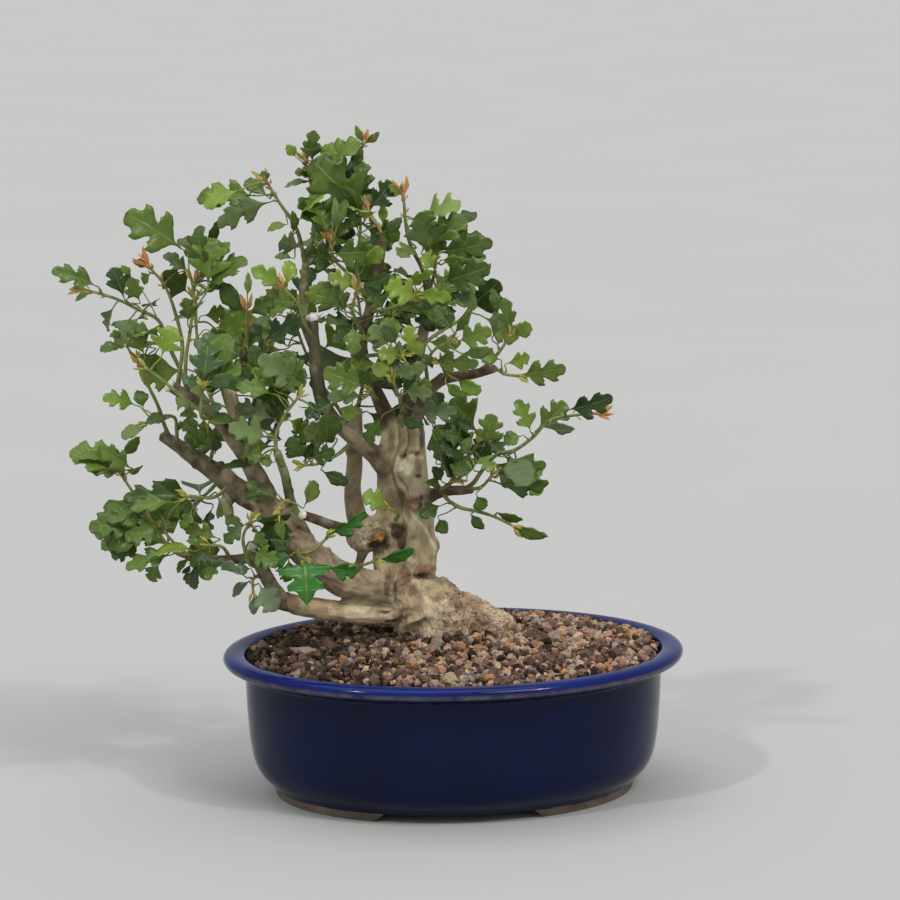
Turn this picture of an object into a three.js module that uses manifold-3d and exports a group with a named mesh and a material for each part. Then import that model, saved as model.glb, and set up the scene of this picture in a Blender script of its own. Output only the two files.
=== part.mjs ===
// Hawthorn bonsai in a glazed oval pot. Millimetres, +Z up, the pot's long side along X.
import * as THREE from "three";
import { mergeVertices } from "three/addons/utils/BufferGeometryUtils.js";
import Module from "manifold-3d";

const wasm = await Module();
wasm.setup();

// Pot
const POT_LENGTH = 210;
const POT_DEPTH = 166;
const POT_HEIGHT = 66.5;
const POT_SIDES = 32;
const FOOT_HEIGHT = 4.5;
const FLOOR_TOP = 9.5;
const SOIL_EDGE_INSET = 10.6;
const NOTCH_TOP_WIDTH = 66;
const NOTCH_SLANT = 6;
const NOTCH_ACROSS = -4;
const NOTCH_DEPTH = 28;
const NOTCH_INSET = 26;
const DRAIN_RADIUS = 8;
const DRAIN_SIDES = 12;
const DRAIN_ACROSS = 38;

// Soil
const SOIL_EDGE_HEIGHT = 64.6;
const SOIL_CROWN = 6;
const SOIL_CURVE = 2.2;
const GRAIN_RELIEF = 0.9;
const SOIL_RINGS = 7;
const SCREEN_SIZE = 26;
const SCREEN_THICKNESS = 1.2;
const SCREEN_HOLE = 4.6;
const SCREEN_PITCH = 6.2;

// Clearance between neighbouring pieces
const GAP = 0.3;
const BARK_CLEARANCE = 0.35;

// Wood
const ROOT_SIDES = 8;
const TRUNK_SIDES = 10;
const LIMB_SIDES = 7;
const TWIG_SIDES = 5;
const THICK_LIMB = 4;

// Wound seals
const SEAL_HEIGHT = 1.6;
const SEAL_START = 0.6;
const SEAL_OVERHANG = 0.5;
const SEAL_TAPER = 0.8;

// Foliage
const BLADE_THICKNESS = 0.8;
const GUARD_THICKNESS = 1.5;
const BLADE_FOLD = 0.3;
const BLADE_ARCH = 0.1;
const PETIOLE_HALF = 0.38;
const SHARP_BEND = 0.2;
const BEND_BACK = 1.2;
const BEND_DOWN = 0.6;
const STEM_SIDES = 4;
const STEM_START = 1;
const STEM_END = 0.7;
const STEM_STEP = 0.2;
const NARROWEST_VIEW = 0.3;

// Leaves of the far side: where the first and the last one stand on their stem, and the least and
// the most of everything that differs from leaf to leaf
const GOLDEN_ANGLE = THREE.MathUtils.degToRad(137.5);
const BACK_FIRST = 0.3;
const BACK_LAST = 0.98;
const BACK_LEAN = [0.3, 0.8];
const BACK_STALK = [6, 9];
const BACK_LENGTH = [19, 27];
const BACK_WIDTH = [0.62, 0.82];
const BACK_TWIST = [-0.3, 0.3];
const BACK_DROOP = 0.22;
const BACK_FIVE_LOBED = 0.25;

// Steps by which a leaf that would touch something is swung round its stem or moved on its line of sight
const SWINGS = [0, 0.3, -0.3, 0.6, -0.6, 0.9, -0.9, 1.3, -1.3, 1.7, -1.7, 2.2, -2.2, 2.7, -2.7];
const SHIFTS = [0, -2.5, 2.5, -5, 5, -7.5, 7.5, -10, 10, -13, 13, -16, 16, -20, 20, -24, 24, -29, 29];

// The tree is set down as it is seen from the front. A place has three numbers: how far across,
// how far up, both on the upright plane through the pot's middle, and how deep behind that plane
// it lies on its line of sight. The pot's long side is turned a little away from that plane.
const EYE_DISTANCE = 1400;
const EYE_HEIGHT = 398;
const FRONT_TURN = THREE.MathUtils.degToRad(6.1);

function seen(across, up, depth) {
  const grow = (EYE_DISTANCE + depth) / EYE_DISTANCE;
  const side = across * grow;
  const height = EYE_HEIGHT + (up - EYE_HEIGHT) * grow;
  const cos = Math.cos(FRONT_TURN);
  const sin = Math.sin(FRONT_TURN);
  return new THREE.Vector3(side * cos + depth * sin, depth * cos - side * sin, height);
}

const EYE = new THREE.Vector3(-Math.sin(FRONT_TURN), -Math.cos(FRONT_TURN), 0);
EYE.multiplyScalar(EYE_DISTANCE).setZ(EYE_HEIGHT);

// The same numbers on every run
function seededRandom(seed) {
  let state = seed >>> 0;
  return () => {
    state = (state + 0x6d2b79f5) >>> 0;
    let mixed = Math.imul(state ^ (state >>> 15), 1 | state);
    mixed = (mixed + Math.imul(mixed ^ (mixed >>> 7), 61 | mixed)) ^ mixed;
    return ((mixed ^ (mixed >>> 14)) >>> 0) / 4294967296;
  };
}

// Booleans
function solid(geometry) {
  const bare = geometry.clone();
  bare.deleteAttribute("normal");
  bare.deleteAttribute("uv");
  const welded = mergeVertices(bare, 1e-4);
  const vertProperties = new Float32Array(welded.attributes.position.array);
  const triVerts = new Uint32Array(welded.index.array);
  return new wasm.Manifold(new wasm.Mesh({ numProp: 3, vertProperties, triVerts }));
}

function geometryOf(body) {
  const mesh = body.getMesh();
  const geometry = new THREE.BufferGeometry();
  geometry.setAttribute("position", new THREE.BufferAttribute(new Float32Array(mesh.vertProperties), 3));
  geometry.setIndex(new THREE.BufferAttribute(new Uint32Array(mesh.triVerts), 1));
  geometry.computeVertexNormals();
  return geometry;
}

// Bodies grown into one, without the slivers that are shut in where they meet
function fused(bodies) {
  const parts = wasm.Manifold.union(bodies).decompose();
  return parts.sort((a, b) => b.volume() - a.volume())[0];
}

// A tapered limb along a smooth curve. Each point is [place, radius].
function limb(points, sides, steps, swell = 0) {
  const curve = new THREE.CatmullRomCurve3(points.map(([place]) => place));
  const tube = new THREE.CylinderGeometry(1, 1, 1, sides, steps);
  const frames = curve.computeFrenetFrames(steps, false);
  const position = tube.attributes.position;
  const spot = new THREE.Vector3();
  for (let i = 0; i < position.count; i++) {
    const along = 0.5 - position.getY(i);
    const ring = Math.round(along * steps);
    const reach = curve.getUtoTmapping(ring / steps) * (points.length - 1);
    const before = Math.min(Math.floor(reach), points.length - 2);
    const radius = THREE.MathUtils.lerp(points[before][1], points[before + 1][1], reach - before) + swell;
    curve.getPointAt(ring / steps, spot);
    spot.addScaledVector(frames.normals[ring], position.getX(i) * radius);
    spot.addScaledVector(frames.binormals[ring], position.getZ(i) * radius);
    position.setXYZ(i, spot.x, spot.y, spot.z);
  }
  return solid(tube);
}

// Rows of [across, up, depth, radius] into the points of a limb
function placed(rows) {
  return rows.map(([across, up, depth, radius]) => [seen(across, up, depth), radius]);
}

function ovalPoint(inset, angle, height) {
  return [(POT_LENGTH / 2 - inset) * Math.cos(angle), (POT_DEPTH / 2 - inset) * Math.sin(angle), height];
}

// Oval rings, one for each row of [height, inset from the rim's outline]. The first and the last are
// closed to the middle.
function ovalStack(rows) {
  const points = [];
  const faces = [];
  rows.forEach(([height, inset], row) => {
    for (let i = 0; i < POT_SIDES; i++) {
      const angle = (i / POT_SIDES) * 2 * Math.PI;
      points.push(...ovalPoint(inset, angle, height));
      if (row < rows.length - 1) {
        const a = row * POT_SIDES + i;
        const b = row * POT_SIDES + ((i + 1) % POT_SIDES);
        faces.push(a, b, b + POT_SIDES, a, b + POT_SIDES, a + POT_SIDES);
      }
    }
  });
  const first = rows.length * POT_SIDES;
  const last = (rows.length - 1) * POT_SIDES;
  points.push(0, 0, rows[0][0], 0, 0, rows[rows.length - 1][0]);
  for (let i = 0; i < POT_SIDES; i++) {
    const j = (i + 1) % POT_SIDES;
    faces.push(j, i, first, last + i, last + j, first + 1);
  }
  const geometry = new THREE.BufferGeometry();
  geometry.setAttribute("position", new THREE.Float32BufferAttribute(points, 3));
  geometry.setIndex(faces);
  return geometry;
}

// Pot: one fired body with a rounded lip, a curved wall, a floor and a foot ring
const POT_ROWS = [
  [FOOT_HEIGHT, 31.2],
  [0, 30.2],
  [0, 23],
  [FOOT_HEIGHT, 22],
  [6.5, 20],
  [10.5, 16.3],
  [16, 13.5],
  [26, 11.6],
  [57.6, 9.6],
  [59.5, 3.6],
  [61.4, 0.7],
  [63.9, 0],
  [65.7, 1.3],
  [POT_HEIGHT, 4.8],
  [65.5, 9.6],
  [62.6, 10.8],
  [58.5, 14.4],
  [24, 16.6],
  [FLOOR_TOP, 27],
];

function pot() {
  let body = solid(ovalStack(POT_ROWS));
  const outline = new THREE.Shape();
  outline.moveTo(NOTCH_ACROSS - NOTCH_TOP_WIDTH / 2 - NOTCH_SLANT, -1);
  outline.lineTo(NOTCH_ACROSS + NOTCH_TOP_WIDTH / 2 + NOTCH_SLANT, -1);
  outline.lineTo(NOTCH_ACROSS + NOTCH_TOP_WIDTH / 2, FOOT_HEIGHT);
  outline.lineTo(NOTCH_ACROSS - NOTCH_TOP_WIDTH / 2, FOOT_HEIGHT);
  for (const side of [-1, 1]) {
    const notch = new THREE.ExtrudeGeometry(outline, { depth: NOTCH_DEPTH, bevelEnabled: false });
    notch.rotateX(Math.PI / 2);
    notch.translate(0, side * (POT_DEPTH / 2 - NOTCH_INSET) + NOTCH_DEPTH / 2, 0);
    body = body.subtract(solid(notch));
  }
  for (const side of [-1, 1]) {
    body = body.subtract(upright(DRAIN_RADIUS, DRAIN_SIDES, 4 * FLOOR_TOP, side * DRAIN_ACROSS));
  }
  return body;
}

// A plain upright cylinder through the ground, on the pot's long axis
function upright(radius, sides, height, across) {
  const geometry = new THREE.CylinderGeometry(radius, radius, height, sides);
  geometry.rotateX(Math.PI / 2);
  geometry.translate(across, 0, 0);
  return solid(geometry);
}

function block(width, deep, height, x, y, z) {
  const geometry = new THREE.BoxGeometry(width, deep, height);
  geometry.translate(x, y, z);
  return solid(geometry);
}

// Drain screens: square plastic nets over the two holes in the floor
function drainScreen(side) {
  const middle = FLOOR_TOP + GAP + SCREEN_THICKNESS / 2;
  let body = block(SCREEN_SIZE, SCREEN_SIZE, SCREEN_THICKNESS, side * DRAIN_ACROSS, 0, middle);
  for (const column of [-1, 0, 1]) {
    for (const row of [-1, 0, 1]) {
      const x = side * DRAIN_ACROSS + column * SCREEN_PITCH;
      const y = row * SCREEN_PITCH;
      body = body.subtract(block(SCREEN_HOLE, SCREEN_HOLE, 2 * SCREEN_THICKNESS, x, y, middle));
    }
  }
  return body;
}

// Soil: fills the pot and rises to the trunk, with a grainy top. Its wall has rows of
// [height, inset from the rim's outline].
const SOIL_WALL_ROWS = [
  [62.4, 11.2],
  [58.3, 14.75],
  [24, 16.95],
  [FLOOR_TOP + GAP, 27.3],
];

function soil(roots) {
  const random = seededRandom(11);
  const points = [];
  const faces = [];
  for (let ring = 0; ring < SOIL_RINGS; ring++) {
    const share = 1 - ring / SOIL_RINGS;
    for (let i = 0; i < POT_SIDES; i++) {
      const angle = ((i + (ring % 2) / 2) / POT_SIDES) * 2 * Math.PI;
      const across = (POT_LENGTH / 2 - SOIL_EDGE_INSET) * share * Math.cos(angle);
      const deep = (POT_DEPTH / 2 - SOIL_EDGE_INSET) * share * Math.sin(angle);
      const rise = SOIL_CROWN * (1 - share ** SOIL_CURVE);
      const grain = ring === 0 ? 0 : (random() - 0.5) * 2 * GRAIN_RELIEF;
      points.push(across, deep, SOIL_EDGE_HEIGHT + rise + grain);
    }
  }
  const top = points.length / 3;
  points.push(0, 0, SOIL_EDGE_HEIGHT + SOIL_CROWN);
  for (let ring = 0; ring < SOIL_RINGS - 1; ring++) {
    for (let i = 0; i < POT_SIDES; i++) {
      const j = (i + 1) % POT_SIDES;
      const a = ring * POT_SIDES + i;
      const b = ring * POT_SIDES + j;
      const c = (ring + 1) * POT_SIDES + i;
      const d = (ring + 1) * POT_SIDES + j;
      faces.push(a, b, d, a, d, c);
    }
  }
  const innermost = (SOIL_RINGS - 1) * POT_SIDES;
  for (let i = 0; i < POT_SIDES; i++) {
    faces.push(innermost + i, innermost + ((i + 1) % POT_SIDES), top);
  }
  const start = points.length / 3;
  for (const [height, inset] of SOIL_WALL_ROWS) {
    for (let i = 0; i < POT_SIDES; i++) {
      const angle = (i / POT_SIDES) * 2 * Math.PI;
      points.push(...ovalPoint(inset, angle, height));
    }
  }
  const levels = [0, ...SOIL_WALL_ROWS.map((_, index) => start + index * POT_SIDES)];
  for (let level = 0; level < levels.length - 1; level++) {
    for (let i = 0; i < POT_SIDES; i++) {
      const j = (i + 1) % POT_SIDES;
      const a = levels[level] + i;
      const b = levels[level] + j;
      const c = levels[level + 1] + i;
      const d = levels[level + 1] + j;
      faces.push(a, d, b, a, c, d);
    }
  }
  const bottom = points.length / 3;
  points.push(0, 0, FLOOR_TOP + GAP);
  const lowest = levels[levels.length - 1];
  for (let i = 0; i < POT_SIDES; i++) {
    faces.push(lowest + ((i + 1) % POT_SIDES), lowest + i, bottom);
  }
  const geometry = new THREE.BufferGeometry();
  geometry.setAttribute("position", new THREE.Float32BufferAttribute(points, 3));
  geometry.setIndex(faces);
  let body = solid(geometry);
  const pocket = SCREEN_SIZE + 2 * GAP;
  for (const side of [-1, 1]) {
    const height = SCREEN_THICKNESS + 4 * GAP;
    const middle = FLOOR_TOP + height / 2;
    body = body.subtract(block(pocket, pocket, height, side * DRAIN_ACROSS, 0, middle));
  }
  for (const root of roots) {
    body = body.subtract(root);
  }
  return body;
}

// Wood. Every row is [across, up, depth, radius].
const ROOT_ROWS = [
  [[-14, 92, 11, 13], [-9, 80, 13, 17], [-6, 66, 14, 18.5], [-5, 52, 14, 15]],
  [
    [-14, 85, 11, 12.5], [2, 79.5, 13, 12], [12, 76.5, 14, 10.4], [22, 71.5, 15, 8.4], [30, 65, 16, 6],
    [38, 56, 16, 4],
  ],
  [[-19, 88, 8, 12], [-17, 78, 9, 10.5], [-13, 62, 10, 7]],
  [[-4, 80, 20, 12], [2, 70, 36, 8], [6, 56, 46, 4]],
  [[-18, 82, 20, 12], [-30, 70, 34, 7], [-40, 56, 42, 4]],
];
const TRUNK_ROWS = [
  [
    [-14, 84, 11, 15.5], [-18.4, 98, 9, 11], [-17.2, 112, 8, 9.8], [-17, 130, 7, 7.8], [-17.2, 150, 6, 6],
    [-18, 176, 6, 5],
  ],
  [
    [-20, 84, 9, 13], [-25, 100, 8, 11], [-28, 114, 7, 8.6], [-28, 130, 6, 6.6], [-27.6, 150, 5, 6.2],
    [-26, 169, 5, 5],
  ],
];
const LIMB_ROWS = {
  burl: [[-26, 122, 8, 7], [-34, 119, 3, 8.4], [-42, 117, 1, 6.4], [-47, 118, 1, 4]],
  stemBehind: [
    [-32, 116, 12, 7.5], [-42, 124, 15, 5.4], [-45, 137, 17, 3.9], [-44, 151, 18, 3.6], [-43.5, 164, 18, 3.5],
    [-43, 176, 18, 2.8],
  ],
  branchUp: [
    [-27, 146, 5, 6], [-36, 156, 1, 4.8], [-48, 166, -5, 4.1], [-56, 175, -9, 3.9], [-60, 188, -11, 3.7],
    [-62, 217, -12, 2.8],
  ],
  limbLow: [
    [-24, 83, 8, 8], [-37, 82, 1, 5.5], [-50, 82.8, -4, 5], [-70, 85.8, -7, 4.6], [-78, 88, -7, 4.5],
  ],
  limbLowRise: [[-76, 86, -7, 4.4], [-82, 94, -9, 4.2], [-87, 104, -11, 3.8], [-91.5, 112.4, -12, 3.4]],
  limbLeft: [
    [-24, 92, 8, 9], [-38, 94, 0, 8], [-49, 97.3, -5, 8.3], [-59, 103.8, -9, 7.6], [-71, 115.5, -12, 6.9],
    [-78, 125, -12, 6.8], [-86, 133.5, -11, 6.6],
  ],
  limbLeftOuter: [
    [-84, 132.5, -11, 6.4], [-97, 139.5, -5, 5.8], [-108, 148.5, 1, 4.9], [-120, 157.5, 6, 4.1],
    [-131, 165, 8, 3.1],
  ],
  limbLeftUpper: [
    [-84, 135, -12, 6], [-90, 149, -16, 4.8], [-99, 163, -17, 3.8], [-112, 178, -15, 3.2],
    [-126, 187, -13, 2.9],
  ],
  stubPale: [[-91, 158, -14, 3.4], [-97, 174, -7, 3], [-100.5, 188.5, -3, 2.5]],
  twigBurl: [[-44, 119, 1, 3], [-54, 122.5, -8, 2.3], [-63, 126, -18, 2], [-67.6, 127.6, -22.5, 1.8]],
  twigLow: [[-89, 108, -11, 2.6], [-104, 107.5, -12, 1.7], [-121, 108.4, -12, 1.4]],
  twigRight: [[-14, 134, 7, 4], [-6, 137.5, 2, 2.4], [4, 138.5, -4, 2], [9, 138.6, -7, 1.7]],
  twigTop: [
    [-17.5, 172, 6, 5], [-12, 182, 2, 3], [-4, 189, -4, 2.4], [10, 191.5, -10, 2], [20, 194, -12, 1.6],
  ],
  twigCrown: [
    [-27, 168, 5, 4.4], [-34, 184, 4, 3], [-40, 202, 0, 2.4], [-36, 222, -4, 2.2], [-32, 240, -6, 1.9],
    [-30, 253, -7, 1.6],
  ],
  twigBack: [
    [-20, 168, 8, 4.4], [-18, 186, 16, 3.2], [-14, 204, 22, 2.6], [-10, 222, 22, 2], [-11, 238, 16, 1.6],
  ],
  twigLeft: [[-100, 186, -3, 1.6], [-95, 194, -6, 1.9], [-92, 204, -8, 1.8]],
  cutGreen: [[-104, 147, -2, 1.6], [-101, 128, -14, 1.8], [-104, 136, -15, 1.5]],
  shootGreen: [[-66, 118, -11, 2.2], [-72.5, 132, -7, 2.1], [-75.5, 146, -16, 1.9], [-79, 157, -24, 1.7]],
  stemCrownLeft: [[-61.5, 205, -8, 2.4], [-65, 214, -4, 2], [-66, 227, -3.5, 1.8], [-64.6, 242, -5, 1.5]],
};

function sidesFor(rows) {
  return rows[0][3] > THICK_LIMB ? LIMB_SIDES : TWIG_SIDES;
}

function woodLimb(rows, sides, swell = 0) {
  return limb(placed(rows), sides, rows.length - 1, swell);
}

// White caps of wound paste on the cut ends of four limbs
const SEALED_LIMBS = {
  seal_branch_top: "branchUp",
  seal_limb_upper: "limbLeftUpper",
  seal_limb_low: "limbLowRise",
  seal_twig_burl: "twigBurl",
};

function seal(rows) {
  const cut = seen(...rows[rows.length - 1].slice(0, 3));
  const before = seen(...rows[rows.length - 2].slice(0, 3));
  const way = cut.clone().sub(before).normalize();
  const radius = rows[rows.length - 1][3] + SEAL_OVERHANG;
  const start = cut.clone().addScaledVector(way, SEAL_START);
  const end = start.clone().addScaledVector(way, SEAL_HEIGHT);
  return limb([[start, radius], [end, radius * SEAL_TAPER]], ROOT_SIDES, 1);
}

// Leaves. A blade's half outline goes from its base to its tip, after the stalk's own corner:
// [share of length, share of half width].
const BLADES = {
  five: [[0.36, 1], [0.45, 0.45], [0.68, 0.8], [0.76, 0.36]],
  lobed: [[0.4, 1], [0.52, 0.5], [0.78, 0.6]],
  broad: [[0.34, 0.94], [0.72, 0.66]],
  plain: [[0.42, 1]],
};

// A leaf from its root in the stem, along its stalk, to the base and the tip of its blade
function leafGeometry(leaf, thickness) {
  const { root, base, tip, width, turn, kind } = leaf;
  const axis = tip.clone().sub(base);
  const length = axis.length();
  axis.normalize();
  const facing = EYE.clone().sub(base).normalize();
  facing.addScaledVector(axis, -facing.dot(axis)).normalize();
  facing.applyAxisAngle(axis, turn);
  const side = new THREE.Vector3().crossVectors(axis, facing);
  const half = PETIOLE_HALF * (thickness / BLADE_THICKNESS);
  const points = [];
  const place = (along, aside) => {
    const arch = BLADE_ARCH * length * (4 * along * (1 - along));
    const spot = base.clone().addScaledVector(axis, along * length).addScaledVector(side, aside);
    spot.addScaledVector(facing, arch + BLADE_FOLD * Math.abs(aside) * (1 - along ** 3));
    points.push(spot.clone().addScaledVector(facing, thickness / 2));
    points.push(spot.addScaledVector(facing, -thickness / 2));
  };
  const outline = BLADES[kind].map(([along, aside]) => [along, (aside * width) / 2]);
  const mirrored = outline.map(([along, aside]) => [along, -aside]).reverse();
  for (const [along, aside] of [[0, half], ...outline, [1, 0], ...mirrored, [0, -half]]) {
    place(along, aside);
  }
  const count = points.length / 2;
  const faces = [];
  for (let i = 0; i < count - 1; i++) {
    const a = 2 * i;
    faces.push([a, a + 1, a + 3], [a, a + 3, a + 2]);
  }
  for (let i = 0; i <= outline.length; i++) {
    const [a, b, c, d] = [i, i + 1, count - 2 - i, count - 1 - i].map((place) => 2 * place);
    faces.push([a, b, d], [a + 1, d + 1, b + 1]);
    if (b !== c) {
      faces.push([b, c, d], [b + 1, d + 1, c + 1]);
    }
  }
  // The stalk goes on from the blade's base edge and is closed inside the stem
  const stalk = base.clone().sub(root).normalize();
  const stations = [[root, stalk]];
  if (stalk.dot(axis) < SHARP_BEND) {
    const bend = base.clone().addScaledVector(axis, -BEND_BACK).addScaledVector(stalk, -BEND_DOWN);
    stations.unshift([bend, axis.clone().add(stalk).normalize()]);
  }
  const last = 2 * (count - 1);
  let ring = [0, last, last + 1, 1];
  for (const [centre, way] of stations) {
    const swing = new THREE.Quaternion().setFromUnitVectors(axis, way);
    const level = side.clone().applyQuaternion(swing);
    const rise = facing.clone().applyQuaternion(swing);
    const next = [[1, 1], [-1, 1], [-1, -1], [1, -1]].map(([sideways, upward]) => {
      const spot = centre.clone().addScaledVector(level, sideways * half);
      points.push(spot.addScaledVector(rise, (upward * thickness) / 2));
      return points.length - 1;
    });
    ring.forEach((corner, i) => {
      const j = (i + 1) % 4;
      faces.push([corner, ring[j], next[j]], [corner, next[j], next[i]]);
    });
    ring = next;
  }
  faces.push([ring[0], ring[1], ring[2]], [ring[0], ring[2], ring[3]]);
  const geometry = new THREE.BufferGeometry();
  geometry.setAttribute("position", new THREE.Float32BufferAttribute(points.flatMap((p) => p.toArray()), 3));
  geometry.setIndex(faces.flat());
  return geometry;
}

// Shoots. Each has the place in the wood that it grows from, its green stem, and its leaves. A leaf is
// [kind, where on the stem, base of the blade, tip of the blade, width seen from the front, turn in degrees].
const SHOOTS = [
  {
    name: "shoot_left_tall",
    foot: [[-119, 183, -14], [-119.5, 189, -14]],
    stem: [[-119, 200, -14], [-116.6, 214, -13], [-114.4, 233, -12]],
    leaves: [
      ["five", 0.92, [-120, 249, -14], [-145, 265, -20], 20, 10],
      ["five", 0.66, [-108.5, 233, -16], [-107, 254, -12], 21, 12],
      ["plain", 0.99, [-108, 251, -9], [-103.5, 262, -12], 4, 20],
      ["plain", 0.84, [-103, 235, -10], [-93, 221, -14], 8, 25],
      ["lobed", 0.5, [-118, 216, -18], [-119, 227, -20], 8, 30],
      ["lobed", 0.55, [-111, 219, -9], [-101.5, 222, -6], 8, 30],
    ],
  },
  {
    name: "shoot_left_thin",
    foot: [[-123, 185, -13], [-122.5, 191, -11]],
    stem: [[-120.5, 205, -6], [-123, 219, -4], [-128, 233, -3], [-134, 240.5, -4]],
    leaves: [
      ["plain", 0.99, [-136, 241, -5], [-142, 243.5, -7], 3.5, 40],
    ],
  },
  {
    name: "shoot_far_left",
    foot: [[-118, 182.5, -14], [-120.5, 191.5, -6]],
    stem: [[-126, 204, -2], [-131, 217, -2], [-140, 222, -4], [-150, 227, -6], [-163, 231, -10]],
    leaves: [
      ["five", 0.88, [-158, 232.5, -10], [-178, 240, -16], 10, 20],
      ["lobed", 0.66, [-146, 227, -6], [-151, 241, -2], 11, 10],
      ["plain", 0.96, [-161, 229.5, -8], [-168, 226, -6], 3, 50],
    ],
  },
  {
    name: "shoot_left_olive",
    foot: [[-127, 163, 7], [-130, 171, 3]],
    stem: [[-132, 178, 0], [-136, 187, -4], [-140, 197, -8]],
    leaves: [
      ["lobed", 0.8, [-132, 203, 2], [-137.5, 194.5, 6], 10, 20],
      ["broad", 0.99, [-147, 205, -12], [-157.5, 203.5, -18], 4.5, 40],
    ],
  },
  {
    name: "shoot_left_lime",
    foot: [[-106, 171, -16], [-111, 174.5, -19]],
    stem: [[-122, 183, -23], [-130, 190, -26], [-136.5, 195, -28]],
    leaves: [
      ["five", 0.96, [-130, 201, -28], [-124, 214, -26], 15, 0],
    ],
  },
  {
    name: "shoot_left_mid",
    foot: [[-124, 160, 7], [-124, 167, 1]],
    stem: [[-125, 173, -4], [-131, 173.5, -8], [-137, 171, -10]],
    leaves: [
      ["five", 0.9, [-142, 178.5, -6], [-157, 182, -10], 9, 25],
      ["broad", 0.98, [-138, 169, -12], [-149, 164, -16], 5.5, 40],
    ],
  },
  {
    name: "shoot_low_far",
    foot: [[-119, 108.4, -12], [-125, 110.5, -11]],
    stem: [[-130, 115, -9], [-135, 123, -7], [-140, 132, -6], [-149, 146, -6]],
    leaves: [
      ["plain", 0.99, [-154, 154, -8], [-170.5, 154.5, -16], 4, 50],
      ["lobed", 0.97, [-148.5, 148, -8], [-164, 149.5, -14], 9, 25],
      ["plain", 0.98, [-149, 156, -2], [-141, 164.5, 2], 5, 30],
    ],
  },
  {
    name: "shoot_low_left",
    foot: [[-117, 108.3, -12], [-122.5, 111.5, -16]],
    stem: [[-127, 116, -18], [-131, 121, -20]],
    leaves: [
      ["five", 0.98, [-143, 124, -20], [-165, 122, -26], 15, 15],
      ["broad", 0.9, [-143, 119, -14], [-159.5, 112.5, -16], 7, 35],
      ["lobed", 0.7, [-129.5, 114, -15], [-143, 120, -11], 9, 20],
      ["five", 0.4, [-127.5, 110, -22], [-148.5, 103, -30], 10, 30],
      ["lobed", 0.3, [-133, 107, -14], [-137.5, 98, -10], 8, 10],
      ["lobed", 0.99, [-126, 134, -24], [-146, 131, -28], 8, 30],
    ],
  },
  {
    name: "shoot_low_upper",
    foot: [[-100, 145, -4], [-104, 138.5, -9]],
    stem: [[-109, 136, -11], [-119, 137, -14]],
    leaves: [
      ["five", 0.99, [-121.5, 136.5, -15], [-149, 135.5, -20], 11, 20],
    ],
  },
  {
    name: "shoot_low_mid",
    foot: [[-101, 107.4, -12], [-103, 111.5, -15]],
    stem: [[-105, 113.5, -17], [-110, 114, -19]],
    leaves: [
      ["five", 0.9, [-106, 117, -14], [-121, 121.5, -10], 10, 10],
    ],
  },
  {
    name: "shoot_low_hang",
    foot: [[-84, 98, -10], [-89, 99.5, -14]],
    stem: [[-91, 98, -16], [-91, 93, -18]],
    leaves: [
      ["plain", 0.99, [-90.7, 90, -19], [-91, 81.5, -20], 4.5, 0],
      ["lobed", 0.7, [-88, 95.5, -22], [-80, 83.5, -28], 13, 10],
    ],
  },
  {
    name: "shoot_front_low",
    foot: [[-64, 117, -10], [-69, 112.5, -17]],
    stem: [[-71, 110.5, -21], [-68.5, 108, -27]],
    side: [0.6, [-64, 111, -22], [-57.5, 116.5, -19]],
    leaves: [
      ["five", 0.98, [-67.5, 106, -31], [-66.5, 85.5, -36], 25, 0],
      ["broad", 0.4, [-73.5, 109.5, -24], [-83, 104.5, -27], 7, 25],
      ["lobed", 0.96, [-58, 103.5, -27], [-43, 101.5, -22], 8, 20],
      ["five", 1.98, [-56.5, 118.8, -20], [-39, 128.5, -24], 7.5, 30],
    ],
  },
  {
    name: "shoot_trunk_left",
    foot: [[-27, 124, 3], [-24.5, 127, -6]],
    stem: [[-25, 128.3, -9], [-28, 130, -12]],
    leaves: [
      ["lobed", 0.98, [-30, 131, -14], [-41, 136.5, -18], 10, 20],
    ],
  },
  {
    name: "shoot_base_left",
    foot: [[-44, 98, -3], [-42, 104, -9]],
    stem: [[-40, 104.6, -11], [-37, 105.6, -13]],
    leaves: [
      ["broad", 0.98, [-34.5, 107, -14], [-17.5, 111.5, -16], 5.5, 40],
    ],
  },
  {
    name: "shoot_stalks",
    foot: [[-87, 104, -11], [-92, 105, -16]],
    stem: [[-94, 110, -19], [-95, 118, -21], [-92, 124.5, -22]],
    leaves: [
      ["lobed", 0.98, [-94, 123.5, -24], [-103.5, 115, -27], 8, 10],
    ],
  },
  {
    name: "shoot_green_side",
    foot: [[-72.6, 132.5, -7.5], [-75, 134.5, -24]],
    stem: [[-77, 133.5, -26], [-78, 131.5, -27]],
    leaves: [
      ["broad", 0.3, [-79.5, 137.2, -22], [-94, 136, -18], 6, 35],
      ["broad", 0.1, [-67, 132, -24], [-62, 143.5, -22], 6.5, 30],
    ],
  },
  {
    name: "shoot_mid_left",
    foot: [[-76.5, 150, -23.3], [-79.2, 158, -24.2]],
    stem: [[-79.3, 165, -24.5], [-75.5, 173, -24.5], [-69.5, 181, -24]],
    leaves: [
      ["lobed", 0.74, [-80, 183, -28], [-97, 187, -32], 9, 25],
      ["lobed", 0.8, [-77, 184, -25], [-70, 190.5, -25], 8, 10],
      ["five", 0.3, [-78, 167, -12], [-77.5, 181.5, -8], 10, 10],
      ["five", 0.14, [-82.5, 163, -25], [-101, 168, -29], 13, 15],
      ["broad", 0.22, [-84, 166, -14], [-91.5, 176.5, -10], 7, 20],
      ["lobed", 0.05, [-84, 154, -23], [-93, 156, -25], 8, 20],
    ],
  },
  {
    name: "shoot_left_twig",
    foot: [[-110, 151, 2], [-108.5, 155.5, -2]],
    stem: [[-108, 159, -4], [-110, 166, -5]],
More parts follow.
